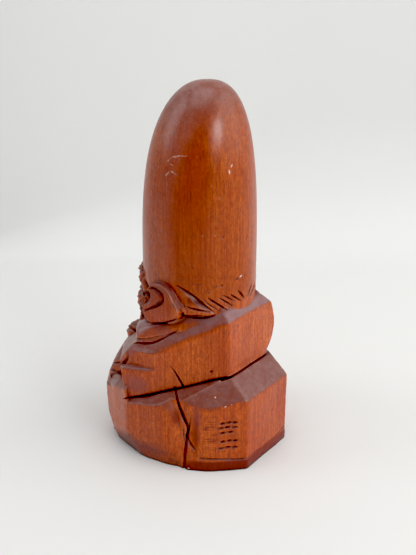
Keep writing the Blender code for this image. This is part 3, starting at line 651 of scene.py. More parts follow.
    # strands of brow, moustache and beard
    strands(q, d, (12, -23, 73), (11, 8, 9.5), lambda s: s[:, 2] * 0.75 + s[:, 0] * 0.65 + 0.5 * np.sin(s[:, 0] * 0.9) + 0.3 * np.sin(s[:, 1] * 1.7), 1.35, 0.7)
    strands(q, d, (13, -22, 59), (10, 10, 8.5), lambda s: s[:, 0] * 0.55 + s[:, 1] * 0.65 - 0.25 * s[:, 2] + 0.9 * np.sin(s[:, 2] * 0.75), 1.45, 0.75)
    strands(q, d, (0, -33, 46), (10.5, 10, 14.5), lambda s: s[:, 0] * (1.0 + 0.030 * (s[:, 2] - 46.0) ** 1) * 1.0 + 0.35 * np.sin(s[:, 2] * 0.5), 1.7, 0.6)
    strands(q, d, (8, -29, 57.5), (9, 5, 8.5), lambda s: s[:, 2] * 0.8 + s[:, 0] * 0.35, 1.15, 0.35)
    # curled hair of the brow and the side of the beard
    for c, g in (((13.0, -19.5, 77.5), (9.5, 8.5, 7.0)), ((13.5, -18.5, 66.0), (8.0, 8.5, 10.0)), ((4.0, -34.0, 47.0), (9.0, 8.0, 9.0))):
        m = (np.abs(q[:, 0] - c[0]) < g[0]) & (np.abs(q[:, 1] - c[1]) < g[1]) & (np.abs(q[:, 2] - c[2]) < g[2]) & (np.abs(d) < 2.5)
        idx = np.nonzero(m)[0]
        if len(idx):
            s = q[idx]
            e = np.sqrt(((s[:, 0] - c[0]) / g[0]) ** 2 + ((s[:, 1] - c[1]) / g[1]) ** 2 + ((s[:, 2] - c[2]) / g[2]) ** 2)
            d[idx] += (1.0 - step(e, 0.7, 1.0)) * 0.40 * (wob(s, 3.1, 0.8) + 0.7 * wob(s, 1.7, 2.2))
    # fingers
    strands(q, d, (8.5, -37.0, 45.5), (5.5, 5, 5.0), lambda s: s[:, 2] + 0.15 * s[:, 0] + 0.2, 2.5, 0.8)

    # broad, barely raised knife marks on the facets
    m = (np.abs(d) < 2.0) & (raw[:, 2] < 84.0)
    idx = np.nonzero(m)[0]
    if len(idx):
        d[idx] += 0.05 * wob(raw[idx], 6.5, 3.3) + 0.035 * wob(raw[idx], 3.1, 0.9)
    for c, r, dep in KNOCKS:
        m = (np.abs(raw[:, 0] - c[0]) < 3) & (np.abs(raw[:, 1] - c[1]) < 3) & (np.abs(raw[:, 2] - c[2]) < 3) & (np.abs(d) < 1.5)
        idx = np.nonzero(m)[0]
        if len(idx):
            e = ((raw[idx] - np.array(c, np.float32)) ** 2).sum(1)
            e = np.maximum(e - d[idx] ** 2, 0.0)
            d[idx] += dep * np.exp(-e / (r * r))

    # flat sawn underside
    return smax(d, -raw[:, 2], 0.25)


# ----------------------------------------------------------------- the mesh
def gradient(p, h=0.12):
    g = np.empty((len(p), 3), np.float32)
    for a in range(3):
        e = np.zeros(3, np.float32)
        e[a] = h
        g[:, a] = figure(p + e, 0.8) - figure(p - e, 0.8)
    n = np.linalg.norm(g, axis=1, keepdims=True)
    return g / np.maximum(n, 1e-6)


def batched(f, p, size=400000):
    return np.concatenate([f(p[i:i + size]) for i in range(0, len(p), size)]) if len(p) else np.zeros(0, np.float32)


def surface(cell):
    """Cells that straddle the surface, found from coarse to fine, then one point in each."""
    levels = 4
    lo = np.array([-43.0, -43.5, -1.5], np.float32)
    hi = np.array([43.0, 40.0, 163.0], np.float32)
    big = cell * 2 ** (levels - 1)
    n = np.ceil((hi - lo) / big).astype(int)
    g = np.stack(np.meshgrid(*[np.arange(k) for k in n], indexing='ij'), -1).reshape(-1, 3)
    size = big
    for lv in range(levels):
        c = lo + (g + 0.5).astype(np.float32) * np.float32(size)
        thr = 0.87 * size + 0.45
        d = batched(lambda s: figure(s, thr), c)
        g = g[np.abs(d) < thr]
        if lv < levels - 1:
            g = (g[:, None, :] * 2 + np.array(list(itertools.product((0, 1), repeat=3)))[None]).reshape(-1, 3)
            size *= 0.5
    # values at the corners
    N = (n * 2 ** (levels - 1) + 2).astype(np.int64)
    key = lambda a: (a[:, 0].astype(np.int64) * N[1] + a[:, 1]) * N[2] + a[:, 2]
    corners = np.array(list(itertools.product((0, 1), repeat=3)))
    allc = (g[:, None, :] + corners[None]).reshape(-1, 3)
    ck = key(allc)
    uk, first, inv = np.unique(ck, return_index=True, return_inverse=True)
    pts = lo + allc[first].astype(np.float32) * np.float32(cell)
    val = batched(lambda s: figure(s, 1.0), pts)
    v8 = val[inv].reshape(-1, 8)
    ins = v8 < 0
    act = ins.any(1) & (~ins).any(1)
    g, v8 = g[act], v8[act]
    # one point per cell: the middle of the crossings
    acc = np.zeros((len(g), 3))
    cnt = np.zeros(len(g))
    for i, j in itertools.combinations(range(8), 2):
        if abs(corners[i] - corners[j]).sum() != 1:
            continue
        a, b = v8[:, i], v8[:, j]
        m = (a < 0) != (b < 0)
        t = a[m] / (a[m] - b[m])
        acc[m] += corners[i] + t[:, None] * (corners[j] - corners[i])
        cnt[m] += 1
    verts = (lo + (g + acc / cnt[:, None]) * cell).astype(np.float32)
    # faces: one square for every lattice edge that crosses the surface
    gk = key(g)
    order = np.argsort(gk)
    sk = gk[order]

    def find(a):
        k = key(a)
        pos = np.clip(np.searchsorted(sk, k), 0, len(sk) - 1)
        return np.where(sk[pos] == k, order[pos], -1)

    quads = []
    for ax in range(3):
        far = np.zeros(3, int)
        far[ax] = 1
        i1 = int(np.nonzero((corners == far).all(1))[0][0])
        a, b = v8[:, 0], v8[:, i1]
        m = (a < 0) != (b < 0)
        base = g[m]
        flip = (a[m] < 0)
        e1, e2 = np.zeros(3, int), np.zeros(3, int)
        e1[(ax + 1) % 3] = 1
        e2[(ax + 2) % 3] = 1
        f = np.stack([find(base), find(base - e1), find(base - e1 - e2), find(base - e2)], 1)
        ok = (f >= 0).all(1)
        f, flip = f[ok], flip[ok]
        f[~flip] = f[~flip][:, ::-1]
        quads.append(f)
    return verts, np.concatenate(quads)


def settle(v, times=2):
    for _ in range(times):
        n = batched(gradient, v)
        d = batched(lambda s: figure(s, 1.0), v)
        v = v - n * np.clip(d, -0.35 * CELL, 0.35 * CELL)[:, None]
    return v


def make_mesh():
    v, f = surface(CELL)
    v = settle(v, 1)
    v[:, 2] = np.where(v[:, 2] < 0.12, 0.0, v[:, 2])
    me = bpy.data.meshes.new("deity_carving")
    me.vertices.add(len(v))
    me.loops.add(len(f) * 4)
    me.polygons.add(len(f))
    me.vertices.foreach_set("co", (v.astype(np.float64) * 0.001).astype(np.float32).ravel())
    me.loops.foreach_set("vertex_index", f.astype(np.int32).ravel())
    me.polygons.foreach_set("loop_start", np.arange(0, len(f) * 4, 4, dtype=np.int32))
    me.polygons.foreach_set("loop_total", np.full(len(f), 4, np.int32))
    me.update(calc_edges=True)
    me.validate()
    ob = bpy.data.objects.new("deity_carving", me)
    bpy.context.scene.collection.objects.link(ob)
    tris = 2 * len(f)
    if tris > BUDGET:
        mod = ob.modifiers.new("thin_out", 'DECIMATE')
        mod.ratio = BUDGET / tris
        mod.use_collapse_triangulate = True
        dg = bpy.context.evaluated_depsgraph_get()
        new = bpy.data.meshes.new_from_object(ob.evaluated_get(dg))
        ob.modifiers.clear()
        ob.data = new
        bpy.data.meshes.remove(me)
        me = new
        me.name = "deity_carving"
    return ob, me, tris


def dress(ob, me):
    """Smooth normals from the form, and what the wood's colour needs to know."""
    n = len(me.vertices)
    co = np.empty(n * 3, np.float32)
    me.vertices.foreach_get("co", co)
    v = co.reshape(-1, 3) * 1000.0
    nor = batched(gradient, v)
    # keep the flat underside flat
    flat = v[:, 2] < 0.02
    nor[flat & (nor[:, 2] < -0.6)] = (0, 0, -1)
    cav = np.zeros(n, np.float32)
    for h, wt in ((0.7, 0.30), (1.5, 0.35), (3.0, 0.35)):
        d = batched(lambda s: figure(s, 3.5), v + nor * np.float32(h))
        cav += wt * np.clip((h - d) / h, 0.0, 1.5)
    edge = np.zeros(n, np.float32)
    for h, wt in ((0.6, 0.5), (1.2, 0.5)):
        d = batched(lambda s: figure(s, 2.0), v - nor * np.float32(h))
        edge += wt * np.clip((h + d) / h, 0.0, 1.0)
    for name, val in (("hollow", cav), ("worn_edge", edge)):
        at = me.attributes.new(name, 'FLOAT', 'POINT')
        at.data.foreach_set("value", val.astype(np.float32))
    co = v.copy()
    co[:, 1] += SHIFT_Y
    me.vertices.foreach_set("co", (co * 0.001).astype(np.float32).ravel())
    me.polygons.foreach_set("use_smooth", np.ones(len(me.polygons), bool))
    me.update()
    me.normals_split_custom_set_from_vertices(nor.astype(float).tolist())
    return nor


# ------------------------------------------------------------------ the wood
def wood():
    mat = bpy.data.materials.new("carved_wood")
    mat.use_nodes = True
    nt = mat.node_tree
    nt.nodes.clear()
    link = nt.links.new

    def node(kind, **kw):
        x = nt.nodes.new(kind)
        for k, val in kw.items():
            setattr(x, k, val)
        return x

    def put(sock, val):
        if isinstance(val, bpy.types.NodeSocket):
            link(val, sock)
        else:
            sock.default_value = val

    def maths(op, a, b=None, c=None, clamp=False):
        x = node('ShaderNodeMath', operation=op, use_clamp=clamp)
        put(x.inputs[0], a)
        if b is not None:
            put(x.inputs[1], b)
        if c is not None:
            put(x.inputs[2], c)
        return x.outputs[0]

    def ramp(val, lo, hi, a=0.0, b=1.0):
        x = node('ShaderNodeMapRange', interpolation_type='SMOOTHSTEP')
        put(x.inputs['Value'], val)
        x.inputs['From Min'].default_value = lo
        x.inputs['From Max'].default_value = hi
        x.inputs['To Min'].default_value = a
        x.inputs['To Max'].default_value = b
        return x.outputs[0]

    def mix(f, a, b, blend='MIX'):
        x = node('ShaderNodeMix', data_type='RGBA', blend_type=blend)
        put(x.inputs[0], f)
        put(x.inputs[6], a)
        put(x.inputs[7], b)
        return x.outputs[2]

    def rgb(r, g, b):
        return (r, g, b, 1.0)

    tc = node('ShaderNodeTexCoord')

    def mapped(scale, loc=(0, 0, 0), rot=(0, 0, 0)):
        m = node('ShaderNodeMapping')
        link(tc.outputs['Object'], m.inputs['Vector'])
        m.inputs['Scale'].default_value = scale
        m.inputs['Location'].default_value = loc
        m.inputs['Rotation'].default_value = rot
        return m.outputs[0]

    def noise(vec, scale=1.0, detail=2.0, rough=0.5, dist=0.0):
        x = node('ShaderNodeTexNoise')
        link(vec, x.inputs['Vector'])
        x.inputs['Scale'].default_value = scale
        x.inputs['Detail'].default_value = detail
        x.inputs['Roughness'].default_value = rough
        x.inputs['Distortion'].default_value = dist
        return x.outputs[0]

    def attr(name):
        x = node('ShaderNodeAttribute', attribute_type='GEOMETRY', attribute_name=name)
        return x.outputs['Fac']

    geo = node('ShaderNodeNewGeometry')
    sep = node('ShaderNodeSeparateXYZ')
    link(geo.outputs['Normal'], sep.inputs[0])
    nz = sep.outputs['Z']
    pos = node('ShaderNodeSeparateXYZ')
    link(tc.outputs['Object'], pos.inputs[0])

    # growth rings: nearly parallel sheets standing upright, the heart far off to one side
    bend = noise(mapped((14, 14, 3.2)), 1.0, 1.5, 0.5)
    fine_bend = noise(mapped((90, 90, 9)), 1.0, 1.0, 0.5)
    dx = maths('SUBTRACT', pos.outputs['X'], 0.018)
    dy = maths('ADD', pos.outputs['Y'], 0.075)
    rad = maths('SQRT', maths('ADD', maths('MULTIPLY', dx, dx), maths('MULTIPLY', dy, dy)))
    rad = maths('ADD', rad, maths('MULTIPLY', bend, 0.010))
    rad = maths('ADD', rad, maths('MULTIPLY', fine_bend, 0.0007))
    ring = maths('FRACT', maths('MULTIPLY', rad, 620.0))
    late = maths('POWER', ring, 3.5)
    # vertical fibres
    fibre = noise(mapped((1500, 1500, 34)), 1.0, 2.0, 0.6)
    fibre2 = noise(mapped((860, 860, 20)), 1.0, 1.5, 0.5)
    pores = noise(mapped((2600, 2600, 150), (3, 1, 2)), 1.0, 1.0, 0.5)
    patch = noise(mapped((42, 42, 22), (1, 2, 3)), 1.0, 2.0, 0.55)
    patch2 = noise(mapped((120, 120, 70), (5, 2, 1)), 1.0, 2.5, 0.6)
    dustn = noise(mapped((260, 260, 260), (2, 7, 1)), 1.0, 3.0, 0.65)

    base = mix(ramp(patch, 0.30, 0.70), rgb(0.335, 0.046, 0.0020), rgb(0.430, 0.083, 0.0085))
    base = mix(ramp(patch2, 0.35, 0.75, 0.0, 0.35), base, rgb(0.30, 0.040, 0.004))
    base = mix(maths('MULTIPLY', late, 0.20), base, rgb(0.225, 0.028, 0.003))
    base = mix(ramp(fibre, 0.38, 0.68, 0.0, 0.34), base, rgb(0.56, 0.135, 0.018))
    base = mix(ramp(fibre2, 0.44, 0.64, 0.0, 0.34), base, rgb(0.215, 0.028, 0.003))
    speck = noise(mapped((1500, 1500, 900), (8, 3, 5)), 1.0, 2.0, 0.6)
    base = mix(ramp(speck, 0.46, 0.66, 0.0, 0.42), base, rgb(0.18, 0.024, 0.004))
    mottle = noise(mapped((760, 760, 420), (6, 1, 4)), 1.0, 3.0, 0.65)
    base = mix(ramp(mottle, 0.40, 0.66, 0.0, 0.36), base, rgb(0.60, 0.52, 0.50), 'MULTIPLY')
    base = mix(ramp(mottle, 0.48, 0.30, 0.0, 0.30), base, rgb(1.35, 1.55, 1.80), 'MULTIPLY')
    # a denser, redder stripe of wood up the head
    u1 = maths('ABSOLUTE', maths('SUBTRACT', maths('MULTIPLY', pos.outputs['Y'], 0.891), maths('MULTIPLY', pos.outputs['X'], 0.454)))
    stripe = maths('MULTIPLY', ramp(u1, 0.0125, 0.0060), ramp(pos.outputs['X'], 0.004, 0.012))
    stripe = maths('MULTIPLY', stripe, ramp(pos.outputs['Z'], 0.070, 0.085))
    base = mix(maths('MULTIPLY', stripe, 0.42), base, rgb(0.265, 0.026, 0.0012))
    dash = noise(mapped((2300, 2300, 250), (2, 9, 4)), 1.0, 1.0, 0.5)
    base = mix(ramp(pores, 0.60, 0.72, 0.0, 0.45), base, rgb(0.12, 0.016, 0.005))
    base = mix(ramp(dash, 0.60, 0.70, 0.0, 0.45), base, rgb(0.11, 0.016, 0.006))

    lower = ramp(pos.outputs['Z'], 0.078, 0.064)
    base = mix(lower, base, rgb(1.19, 1.19, 1.25), 'MULTIPLY')
    base = mix(lower, base, rgb(0.010, 0.007, 0.010), 'ADD')

    # end grain soaks up more colour, so up- and down-facing cuts are darker and browner; on the down-facing cuts this
    # darkening is also painted shade
    endgrain_and_shade = maths('ADD', ramp(nz, 0.10, 0.62), ramp(nz, -0.10, -0.42), clamp=True)
    high = ramp(pos.outputs['Z'], 0.090, 0.125, 0.82, 0.56)
    base = mix(maths('MULTIPLY', endgrain_and_shade, high), base, rgb(0.115, 0.022, 0.013))
    # settled dust and painted sheen on what looks up: up-facing cuts turn greyer
    up = ramp(nz, 0.12, 0.75)
    dust_and_sheen = maths('MULTIPLY', up, ramp(dustn, 0.30, 0.70, 0.16, 0.36))
    base = mix(dust_and_sheen, base, rgb(0.31, 0.21, 0.21))
    # a mauve tint on the up-facing cuts round the neck and shoulders: dust and painted sheen
    nape = maths('MULTIPLY', ramp(pos.outputs['Z'], 0.050, 0.060), ramp(pos.outputs['Z'], 0.0695, 0.0675))
    base = mix(maths('MULTIPLY', maths('MULTIPLY', nape, ramp(nz, 0.30, 0.65)), 0.28), base, rgb(0.36, 0.25, 0.29))
    # painted reflection: a thin pinkish-grey veil on the side turned to the front, ending rather sharply along the head
    across = maths('SUBTRACT', maths('MULTIPLY', pos.outputs['Y'], 0.986), maths('MULTIPLY', pos.outputs['X'], 0.167))
    across = maths('SUBTRACT', across, maths('MULTIPLY', ramp(pos.outputs['Z'], 0.100, 0.156), 0.009))
    across = maths('ADD', across, maths('MULTIPLY', patch2, 0.004))
    painted_side_reflection = ramp(across, 0.0065, -0.0010)
    thin = maths('MULTIPLY', painted_side_reflection, ramp(pos.outputs['Z'], 0.070, 0.088, 0.30, 1.0))
    base = mix(maths('MULTIPLY', thin, ramp(dustn, 0.30, 0.70, 0.11, 0.22)), base, rgb(0.36, 0.20, 0.18))
    grit = noise(mapped((2100, 2100, 2100), (4, 4, 9)), 1.0, 1.5, 0.55)
    grit = maths('MULTIPLY', ramp(grit, 0.64, 0.76), maths('MAXIMUM', painted_side_reflection, up))
    base = mix(maths('MULTIPLY', grit, 0.32), base, rgb(0.52, 0.38, 0.34))
    # old wax on worn edges; the cuts darkened, part dirt and part painted shade
    hollow = attr("hollow")
    worn = attr("worn_edge")
    calm = maths('MULTIPLY', ramp(pos.outputs['Z'], 0.0290, 0.0315), ramp(pos.outputs['Z'], 0.0385, 0.0365))
    calm = maths('MULTIPLY', calm, ramp(pos.outputs['Y'], 0.008, 0.014))
    worn = maths('MULTIPLY', worn, maths('SUBTRACT', 1.0, calm))
    base = mix(maths('MULTIPLY', ramp(worn, 0.10, 0.55), ramp(dustn, 0.25, 0.75, 0.15, 0.55)), base, rgb(0.50, 0.20, 0.115))
    # painted shade and dirt: darker where the hollow measure is high, near black deep in the cuts
    base = mix(ramp(hollow, 0.08, 0.42, 0.0, 0.42), base, rgb(0.155, 0.019, 0.014))
    base = mix(ramp(hollow, 0.30, 1.0, 0.0, 0.80), base, rgb(0.075, 0.012, 0.008))

    # stains, flecks and scratches, and painted shade, shadow and highlight, each a soft or crisp lozenge set in the
    # solid
    def spot(c, r, az=0.0, tilt=0.0, soft=0.5):
        m = node('ShaderNodeMapping', vector_type='TEXTURE')
        link(tc.outputs['Object'], m.inputs['Vector'])
        m.inputs['Location'].default_value = (c[0] * 0.001, (c[1] + SHIFT_Y) * 0.001, c[2] * 0.001)
        m.inputs['Rotation'].default_value = (math.radians(tilt), 0.0, math.radians(az))
        m.inputs['Scale'].default_value = tuple(t * 0.001 for t in r)
        x = node('ShaderNodeVectorMath', operation='LENGTH')
        link(m.outputs[0], x.inputs[0])
        return ramp(x.outputs['Value'], 1.0, soft)

    def group(items, soft):
        best = None
        for it in items:
            v = spot(*it, soft=soft)
            best = v if best is None else maths('MAXIMUM', best, v)
        return best

    # painted shade down the crease between knee and seat, on the walls of the cut behind the ear and at the front rim
    # of the sleeve
    painted_crease_shade = group([((33.6, 12.0, 25.0), (4.0, 3.4, 6.0)), ((29.7, 19.6, 17.0), (3.5, 3.0, 14.0)),
                   ((31.5, 16.2, 1.5), (4.0, 4.0, 3.6)), ((22.5, 11.8, 73.8), (3.0, 3.2, 3.0)), ((20.4, 13.9, 72.9), (3.5, 5.0, 2.2), 32, -20), ((36.8, -18.5, 45.5), (4.0, 4.5, 6.5))], 0.1)
    base = mix(maths('MULTIPLY', painted_crease_shade, ramp(patch2, 0.30, 0.70, 0.40, 0.75)), base, rgb(0.135, 0.030, 0.022))
    # painted shadow under the sleeve, at its back and above the knee
    painted_sleeve_shadow = group([((20.6, 16.4, 36.2), (3.6, 8.5, 3.0), 30, 18), ((32.6, -3.8, 29.2), (3.2, 8.0, 2.2), 30, 15)], 0.2)
    base = mix(maths('MULTIPLY', painted_sleeve_shadow, ramp(patch2, 0.30, 0.70, 0.40, 0.65)), base, rgb(0.085, 0.014, 0.010))
    # painted shade: a mauve shade on the front of the sleeve
    painted_sleeve_shade = group([((34.9, -8.3, 35.0), (5.0, 7.8, 5.6), 18, -22), ((34.5, -12.0, 50.0), (5.0, 5.0, 4.5))], 0.35)
    base = mix(maths('MULTIPLY', painted_sleeve_shade, 0.58), base, rgb(0.215, 0.070, 0.068))
    # painted shade: a mauve tint over the neckband and the neck beside it
    neckband_shade = group([((26.0, -0.1, 58.7), (5.0, 8.0, 4.2), 14, -14), ((22.3, 10.0, 64.6), (4.0, 5.0, 2.6), 30)], 0.3)
    base = mix(maths('MULTIPLY', neckband_shade, 0.52), base, rgb(0.215, 0.075, 0.070))
    # grey dust and painted sheen on the front of the sleeve and on the cuff
    grey_front_dust_sheen = group([((30.5, -25.3, 29.8), (5.0, 5.5, 5.0)), ((37.4, -16.4, 45.9), (4.5, 5.0, 6.5))], 0.3)
    base = mix(maths('MULTIPLY', grey_front_dust_sheen, ramp(dustn, 0.30, 0.70, 0.30, 0.60)), base, rgb(0.37, 0.26, 0.25))
    low = maths('MULTIPLY', ramp(pos.outputs['Z'], 0.0056, 0.0040), ramp(pos.outputs['Y'], 0.014, 0.022))
    base = mix(maths('MULTIPLY', low, 0.85), base, rgb(0.145, 0.009, 0.005))
    # painted contact shadow: near black along the bottom, where the base meets the floor
    painted_contact_shadow = ramp(pos.outputs['Z'], 0.0016, 0.0003, 0.0, 0.75)
    base = mix(painted_contact_shadow, base, rgb(0.030, 0.008, 0.006))
    ear = spot((27.0, -3.0, 69.0), (6.0, 10.5, 11.5), soft=0.75)
    base = mix(ear, base, rgb(0.80, 0.60, 0.60), 'MULTIPLY')
    shade = group([((29.3, 20.3, 22.5), (3.0, 2.6, 15.0)), ((33.6, 12.6, 25.1), (3.5, 3.8, 6.0), 34, 20), ((36.2, -3.1, 6.0), (5.0, 13.0, 4.6), 8, 0)], 0.2)
    base = mix(maths('MULTIPLY', shade, ramp(patch2, 0.30, 0.70, 0.45, 0.80)), base, rgb(0.20, 0.046, 0.044))
    rub = noise(mapped((90, 90, 1500), (3, 3, 8)), 1.0, 2.0, 0.6)
    rub = maths('MULTIPLY', ramp(rub, 0.50, 0.62), spot((26.2, 25.4, 19.5), (3.0, 4.6, 11.0), 45, 0, soft=0.45))
    base = mix(maths('MULTIPLY', rub, 0.62), base, rgb(0.13, 0.020, 0.014))
    pale = group([(near(3.5, 130.2, 22.0), (1.5, 1.9, 0.42), 4, 38), (near(12.0, 131.9, 21.7), (1.5, 2.7, 0.48), 12, 14),
                  (near(21.5, 132.3, 21.7), (1.5, 2.6, 0.34), 21, 4), (near(3.0, 125.0, 22.9), (1.5, 1.6, 0.46), 3, 45),
                  (near(10.5, 125.6, 22.8), (1.5, 2.3, 0.42), 10, -25), (near(8.0, 128.6, 22.4), (1.5, 1.3, 0.22), 8, -20)], 0.25)
    pale = maths('MULTIPLY', pale, ramp(noise(mapped((700, 700, 1900), (1, 1, 5)), 1.0, 2.0, 0.6), 0.42, 0.60, 0.10, 0.75))
    base = mix(pale, base, rgb(0.62, 0.46, 0.40))
    # pale flecks and nicks; the one on the ear, at the bend of the hook-shaped cut, is a painted highlight
    bright = group([(near(67.2, 125.9, 23.1), (1.2, 0.34, 1.10), 67, 6), (near(70.3, 128.2, 22.9), (1.2, 0.28, 0.85), 70, -28), (near(80.5, 82.1, 24.8), (1.5, 1.0, 0.45), 80, 25),
                    ((22.6, 24.9, 34.0), (1.2, 0.40, 0.35), 37), ((21.9, 29.6, 30.8), (1.2, 0.55, 0.25), 37, 20), ((19.4, 31.0, 31.5), (1.2, 0.35, 0.22), 37, 20),
                    ((26.7, -1.4, 77.3), (1.5, 0.45, 0.55)), ((31.0, 17.0, 1.0), (1.5, 0.5, 0.3), 28)], 0.45)
    base = mix(maths('MULTIPLY', bright, 0.85), base, rgb(0.74, 0.66, 0.58))
    faint = group([(near(51.5, 101.1, 24.8), (1.5, 0.55, 0.5), 51), (near(39.4, 101.3, 24.8), (1.5, 0.45, 0.45), 39), (near(56.0, 116.0, 24.6), (1.5, 0.7, 1.2), 56),
                   (near(49.0, 121.0, 24.5), (1.5, 0.8, 1.0), 49)], 0.1)
    base = mix(maths('MULTIPLY', faint, 0.32), base, rgb(0.55, 0.33, 0.28))
    dark = group([(near(35.5, 80.9, 24.8), (1.5, 3.3, 0.30), 35), (near(52.8, 79.7, 24.8), (1.5, 0.55, 0.85), 53, 10), (near(50.5, 79.2, 24.8), (1.5, 1.4, 0.25), 50, 35),
                  (near(59.3, 99.9, 24.8), (1.5, 0.55, 0.5), 59), (near(68.8, 92.9, 24.8), (1.5, 0.75, 0.22), 69, 50),
                  (near(94.3, 134.6, 22.0), (1.5, 0.42, 1.9), 94, 10)], 0.3)
    base = mix(maths('MULTIPLY', dark, 0.70), base, rgb(0.085, 0.018, 0.016))
    ink = group([(near(75.7, 81.4, 24.8), (1.5, 0.95, 0.66), 76, 35), ((18.9, 19.9, 42.7), (1.5, 0.72, 0.66), 30), ((23.9, 9.4, 71.3), (1.5, 0.75, 0.62), 22)], 0.5)
    base = mix(maths('MULTIPLY', ink, 0.92), base, rgb(0.018, 0.020, 0.022))

    bsdf = node('ShaderNodeBsdfPrincipled')
    out = node('ShaderNodeOutputMaterial')
    link(bsdf.outputs[0], out.inputs[0])
    link(base, bsdf.inputs['Base Color'])
    rough = maths('ADD', ramp(fibre2, 0.3, 0.7, 0.30, 0.40), maths('MULTIPLY', endgrain_and_shade, 0.14))
    rough = maths('ADD', rough, maths('MULTIPLY', ramp(hollow, 0.2, 0.8), 0.2), clamp=True)
    link(rough, bsdf.inputs['Roughness'])
    bsdf.inputs['Specular IOR Level'].default_value = 0.08
    link(maths('SUBTRACT', 0.55, maths('MULTIPLY', painted_crease_shade, 0.40)), bsdf.inputs['Coat Weight'])
    bsdf.inputs['Coat IOR'].default_value = 1.75
    bsdf.inputs['Coat Roughness'].default_value = 0.27
    b1 = node('ShaderNodeBump')
    b1.inputs['Strength'].default_value = 0.35
    b1.inputs['Distance'].default_value = 0.00012
    hgt = maths('ADD', maths('MULTIPLY', fibre, 0.6), maths('MULTIPLY', late, -0.35))
    hgt = maths('ADD', hgt, maths('MULTIPLY', dustn, 0.35))
    link(hgt, b1.inputs['Height'])
    link(b1.outputs[0], bsdf.inputs['Normal'])
    return mat


# --------------------------------------------------------- floor, light, view
def plain(name, colour, rough=0.9):
    mat = bpy.data.materials.new(name)
    mat.use_nodes = True
    b = mat.node_tree.nodes["Principled BSDF"]
    b.inputs["Base Color"].default_value = (*colour, 1.0)
    b.inputs["Roughness"].default_value = rough
    b.inputs["Specular IOR Level"].default_value = 0.15
    return mat


def sheet_mesh(name, verts, faces, mat):
    me = bpy.data.meshes.new(name)
    me.from_pydata(verts, [], faces)
    me.materials.append(mat)
    ob = bpy.data.objects.new(name, me)
    bpy.context.scene.collection.objects.link(ob)
    return ob


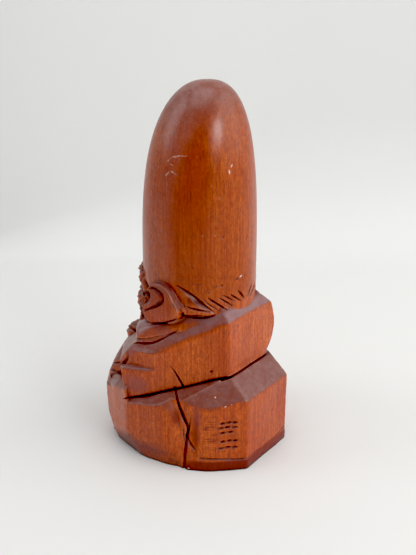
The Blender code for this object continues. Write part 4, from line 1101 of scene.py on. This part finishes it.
def studio():
    back = Vector((math.cos(math.radians(CAM_AZ)), math.sin(math.radians(CAM_AZ)), 0.0))
    side = Vector((-back.y, back.x, 0.0))
    o = Vector((0.0, SHIFT_Y * 0.001, 0.0))
    # one sheet of paper: flat in front, turned up behind, the bend tight on the left and wide on the right
    verts, faces, cols = [], [], 49
    rows = None
    for i in range(cols):
        s = -2.4 + 4.8 * i / (cols - 1)
        t = min(max((s + 0.22) / 0.34, 0.0), 1.0)
        t = t * t * (3.0 - 2.0 * t)
        rad = 0.012 + 0.10 * t
        wall = 0.272 + 0.085 * t
        prof = [(2.2, 0.0), (0.6, 0.0), (0.25, 0.0), (0.0, 0.0), (-(wall - rad) * 0.5, 0.0)]
        for k in range(13):
            a = math.radians(90.0 * k / 12)
            prof.append((-(wall - rad) - rad * math.sin(a), rad - rad * math.cos(a)))
        prof += [(-wall, 0.4), (-wall, 0.9), (-wall, 1.7)]
        rows = len(prof)
        for b, z in prof:
            verts.append(o + back * b + side * s + Vector((0, 0, z)))
    for i in range(cols - 1):
        for k in range(rows - 1):
            a = i * rows + k
            faces.append((a, a + rows, a + rows + 1, a + 1))
    sheet = plain("paper", (0.752, 0.752, 0.744))
    # the turned-up part of the sheet is a little darker than the flat part: painted shade on the wall
    nt = sheet.node_tree
    tc, sp, mr, mx = [nt.nodes.new(k) for k in ('ShaderNodeTexCoord', 'ShaderNodeSeparateXYZ', 'ShaderNodeMapRange', 'ShaderNodeMix')]
    mx.data_type = 'RGBA'
    nt.links.new(tc.outputs['Object'], sp.inputs[0])
    nt.links.new(sp.outputs['Z'], mr.inputs['Value'])
    mr.interpolation_type = 'SMOOTHSTEP'
    mr.inputs['From Min'].default_value, mr.inputs['From Max'].default_value = 0.0, 0.06
    nt.links.new(mr.outputs[0], mx.inputs[0])
    mx.inputs[6].default_value = (0.752, 0.752, 0.744, 1.0)
    mx.inputs[7].default_value = (0.710, 0.711, 0.701, 1.0)
    nt.links.new(mx.outputs[2], nt.nodes["Principled BSDF"].inputs["Base Color"])
    paper = sheet_mesh("paper_sweep", verts, faces, sheet)
    for f in paper.data.polygons:
        f.use_smooth = True

    def lamp(name, az, el, dist, size, power, colour=(1, 1, 1), sy=None):
        L = bpy.data.lights.new(name, 'AREA')
        L.shape = 'RECTANGLE'
        L.size = size
        L.size_y = sy or size
        L.energy = power
        L.color = colour
        ob = bpy.data.objects.new(name, L)
        bpy.context.scene.collection.objects.link(ob)
        aim = o + Vector((0, 0, 0.08))
        ob.location = aim + Vector(way(az, el)) * dist
        ob.rotation_mode = 'QUATERNION'
        ob.rotation_quaternion = Vector(way(az, el)).to_track_quat('Z', 'Y')
        return ob

    lamp("window", 116, 32, 1.2, 1.35, 9.1, (1.0, 0.975, 0.935))
    lamp("ceiling", 10, 76, 1.2, 1.05, 4.6)
    lamp("room", -58, 30, 1.4, 0.9, 4.8, (0.97, 0.985, 1.0))
    lamp("pane", GLINT[0], GLINT[1], 1.2, 0.40, 3.4, (0.93, 0.97, 1.0), 0.26)
    world = bpy.data.worlds.new("studio")
    bpy.context.scene.world = world
    world.use_nodes = True
    bg = world.node_tree.nodes["Background"]
    bg.inputs[0].default_value = (0.98, 0.99, 1.0, 1.0)
    bg.inputs[1].default_value = 0.43


def camera():
    f_px, dist, zt, off = 700.0, 309.0, 75.4, 3.4
    back = way(CAM_AZ, CAM_EL)
    right = np.array([-math.sin(math.radians(CAM_AZ)), math.cos(math.radians(CAM_AZ)), 0.0])
    target = right * off + np.array([0, SHIFT_Y, zt])
    loc = (target + back * dist) * 0.001
    cam = bpy.data.cameras.new("view")
    cam.sensor_width = 36.0
    cam.lens = f_px / 555.0 * 36.0
    cam.clip_start, cam.clip_end = 0.01, 20.0
    ob = bpy.data.objects.new("view", cam)
    bpy.context.scene.collection.objects.link(ob)
    ob.location = loc
    ob.rotation_mode = 'QUATERNION'
    ob.rotation_quaternion = Vector(back).to_track_quat('Z', 'Y')
    bpy.context.scene.camera = ob


# ------------------------------------------------------------------- together
camera()
studio()
carving, mesh, raw_tris = make_mesh()
dress(carving, mesh)
mesh.materials.clear()
mesh.materials.append(wood())
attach(carving, "root")
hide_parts("deity_figure")

vs = bpy.context.scene.view_settings
vs.view_transform = 'Standard'
vs.look = 'None'
vs.exposure = 0.0
vs.gamma = 1.0
vs.use_curve_mapping = True
vs.curve_mapping.black_level = (0.040, 0.040, 0.040)
vs.curve_mapping.update()
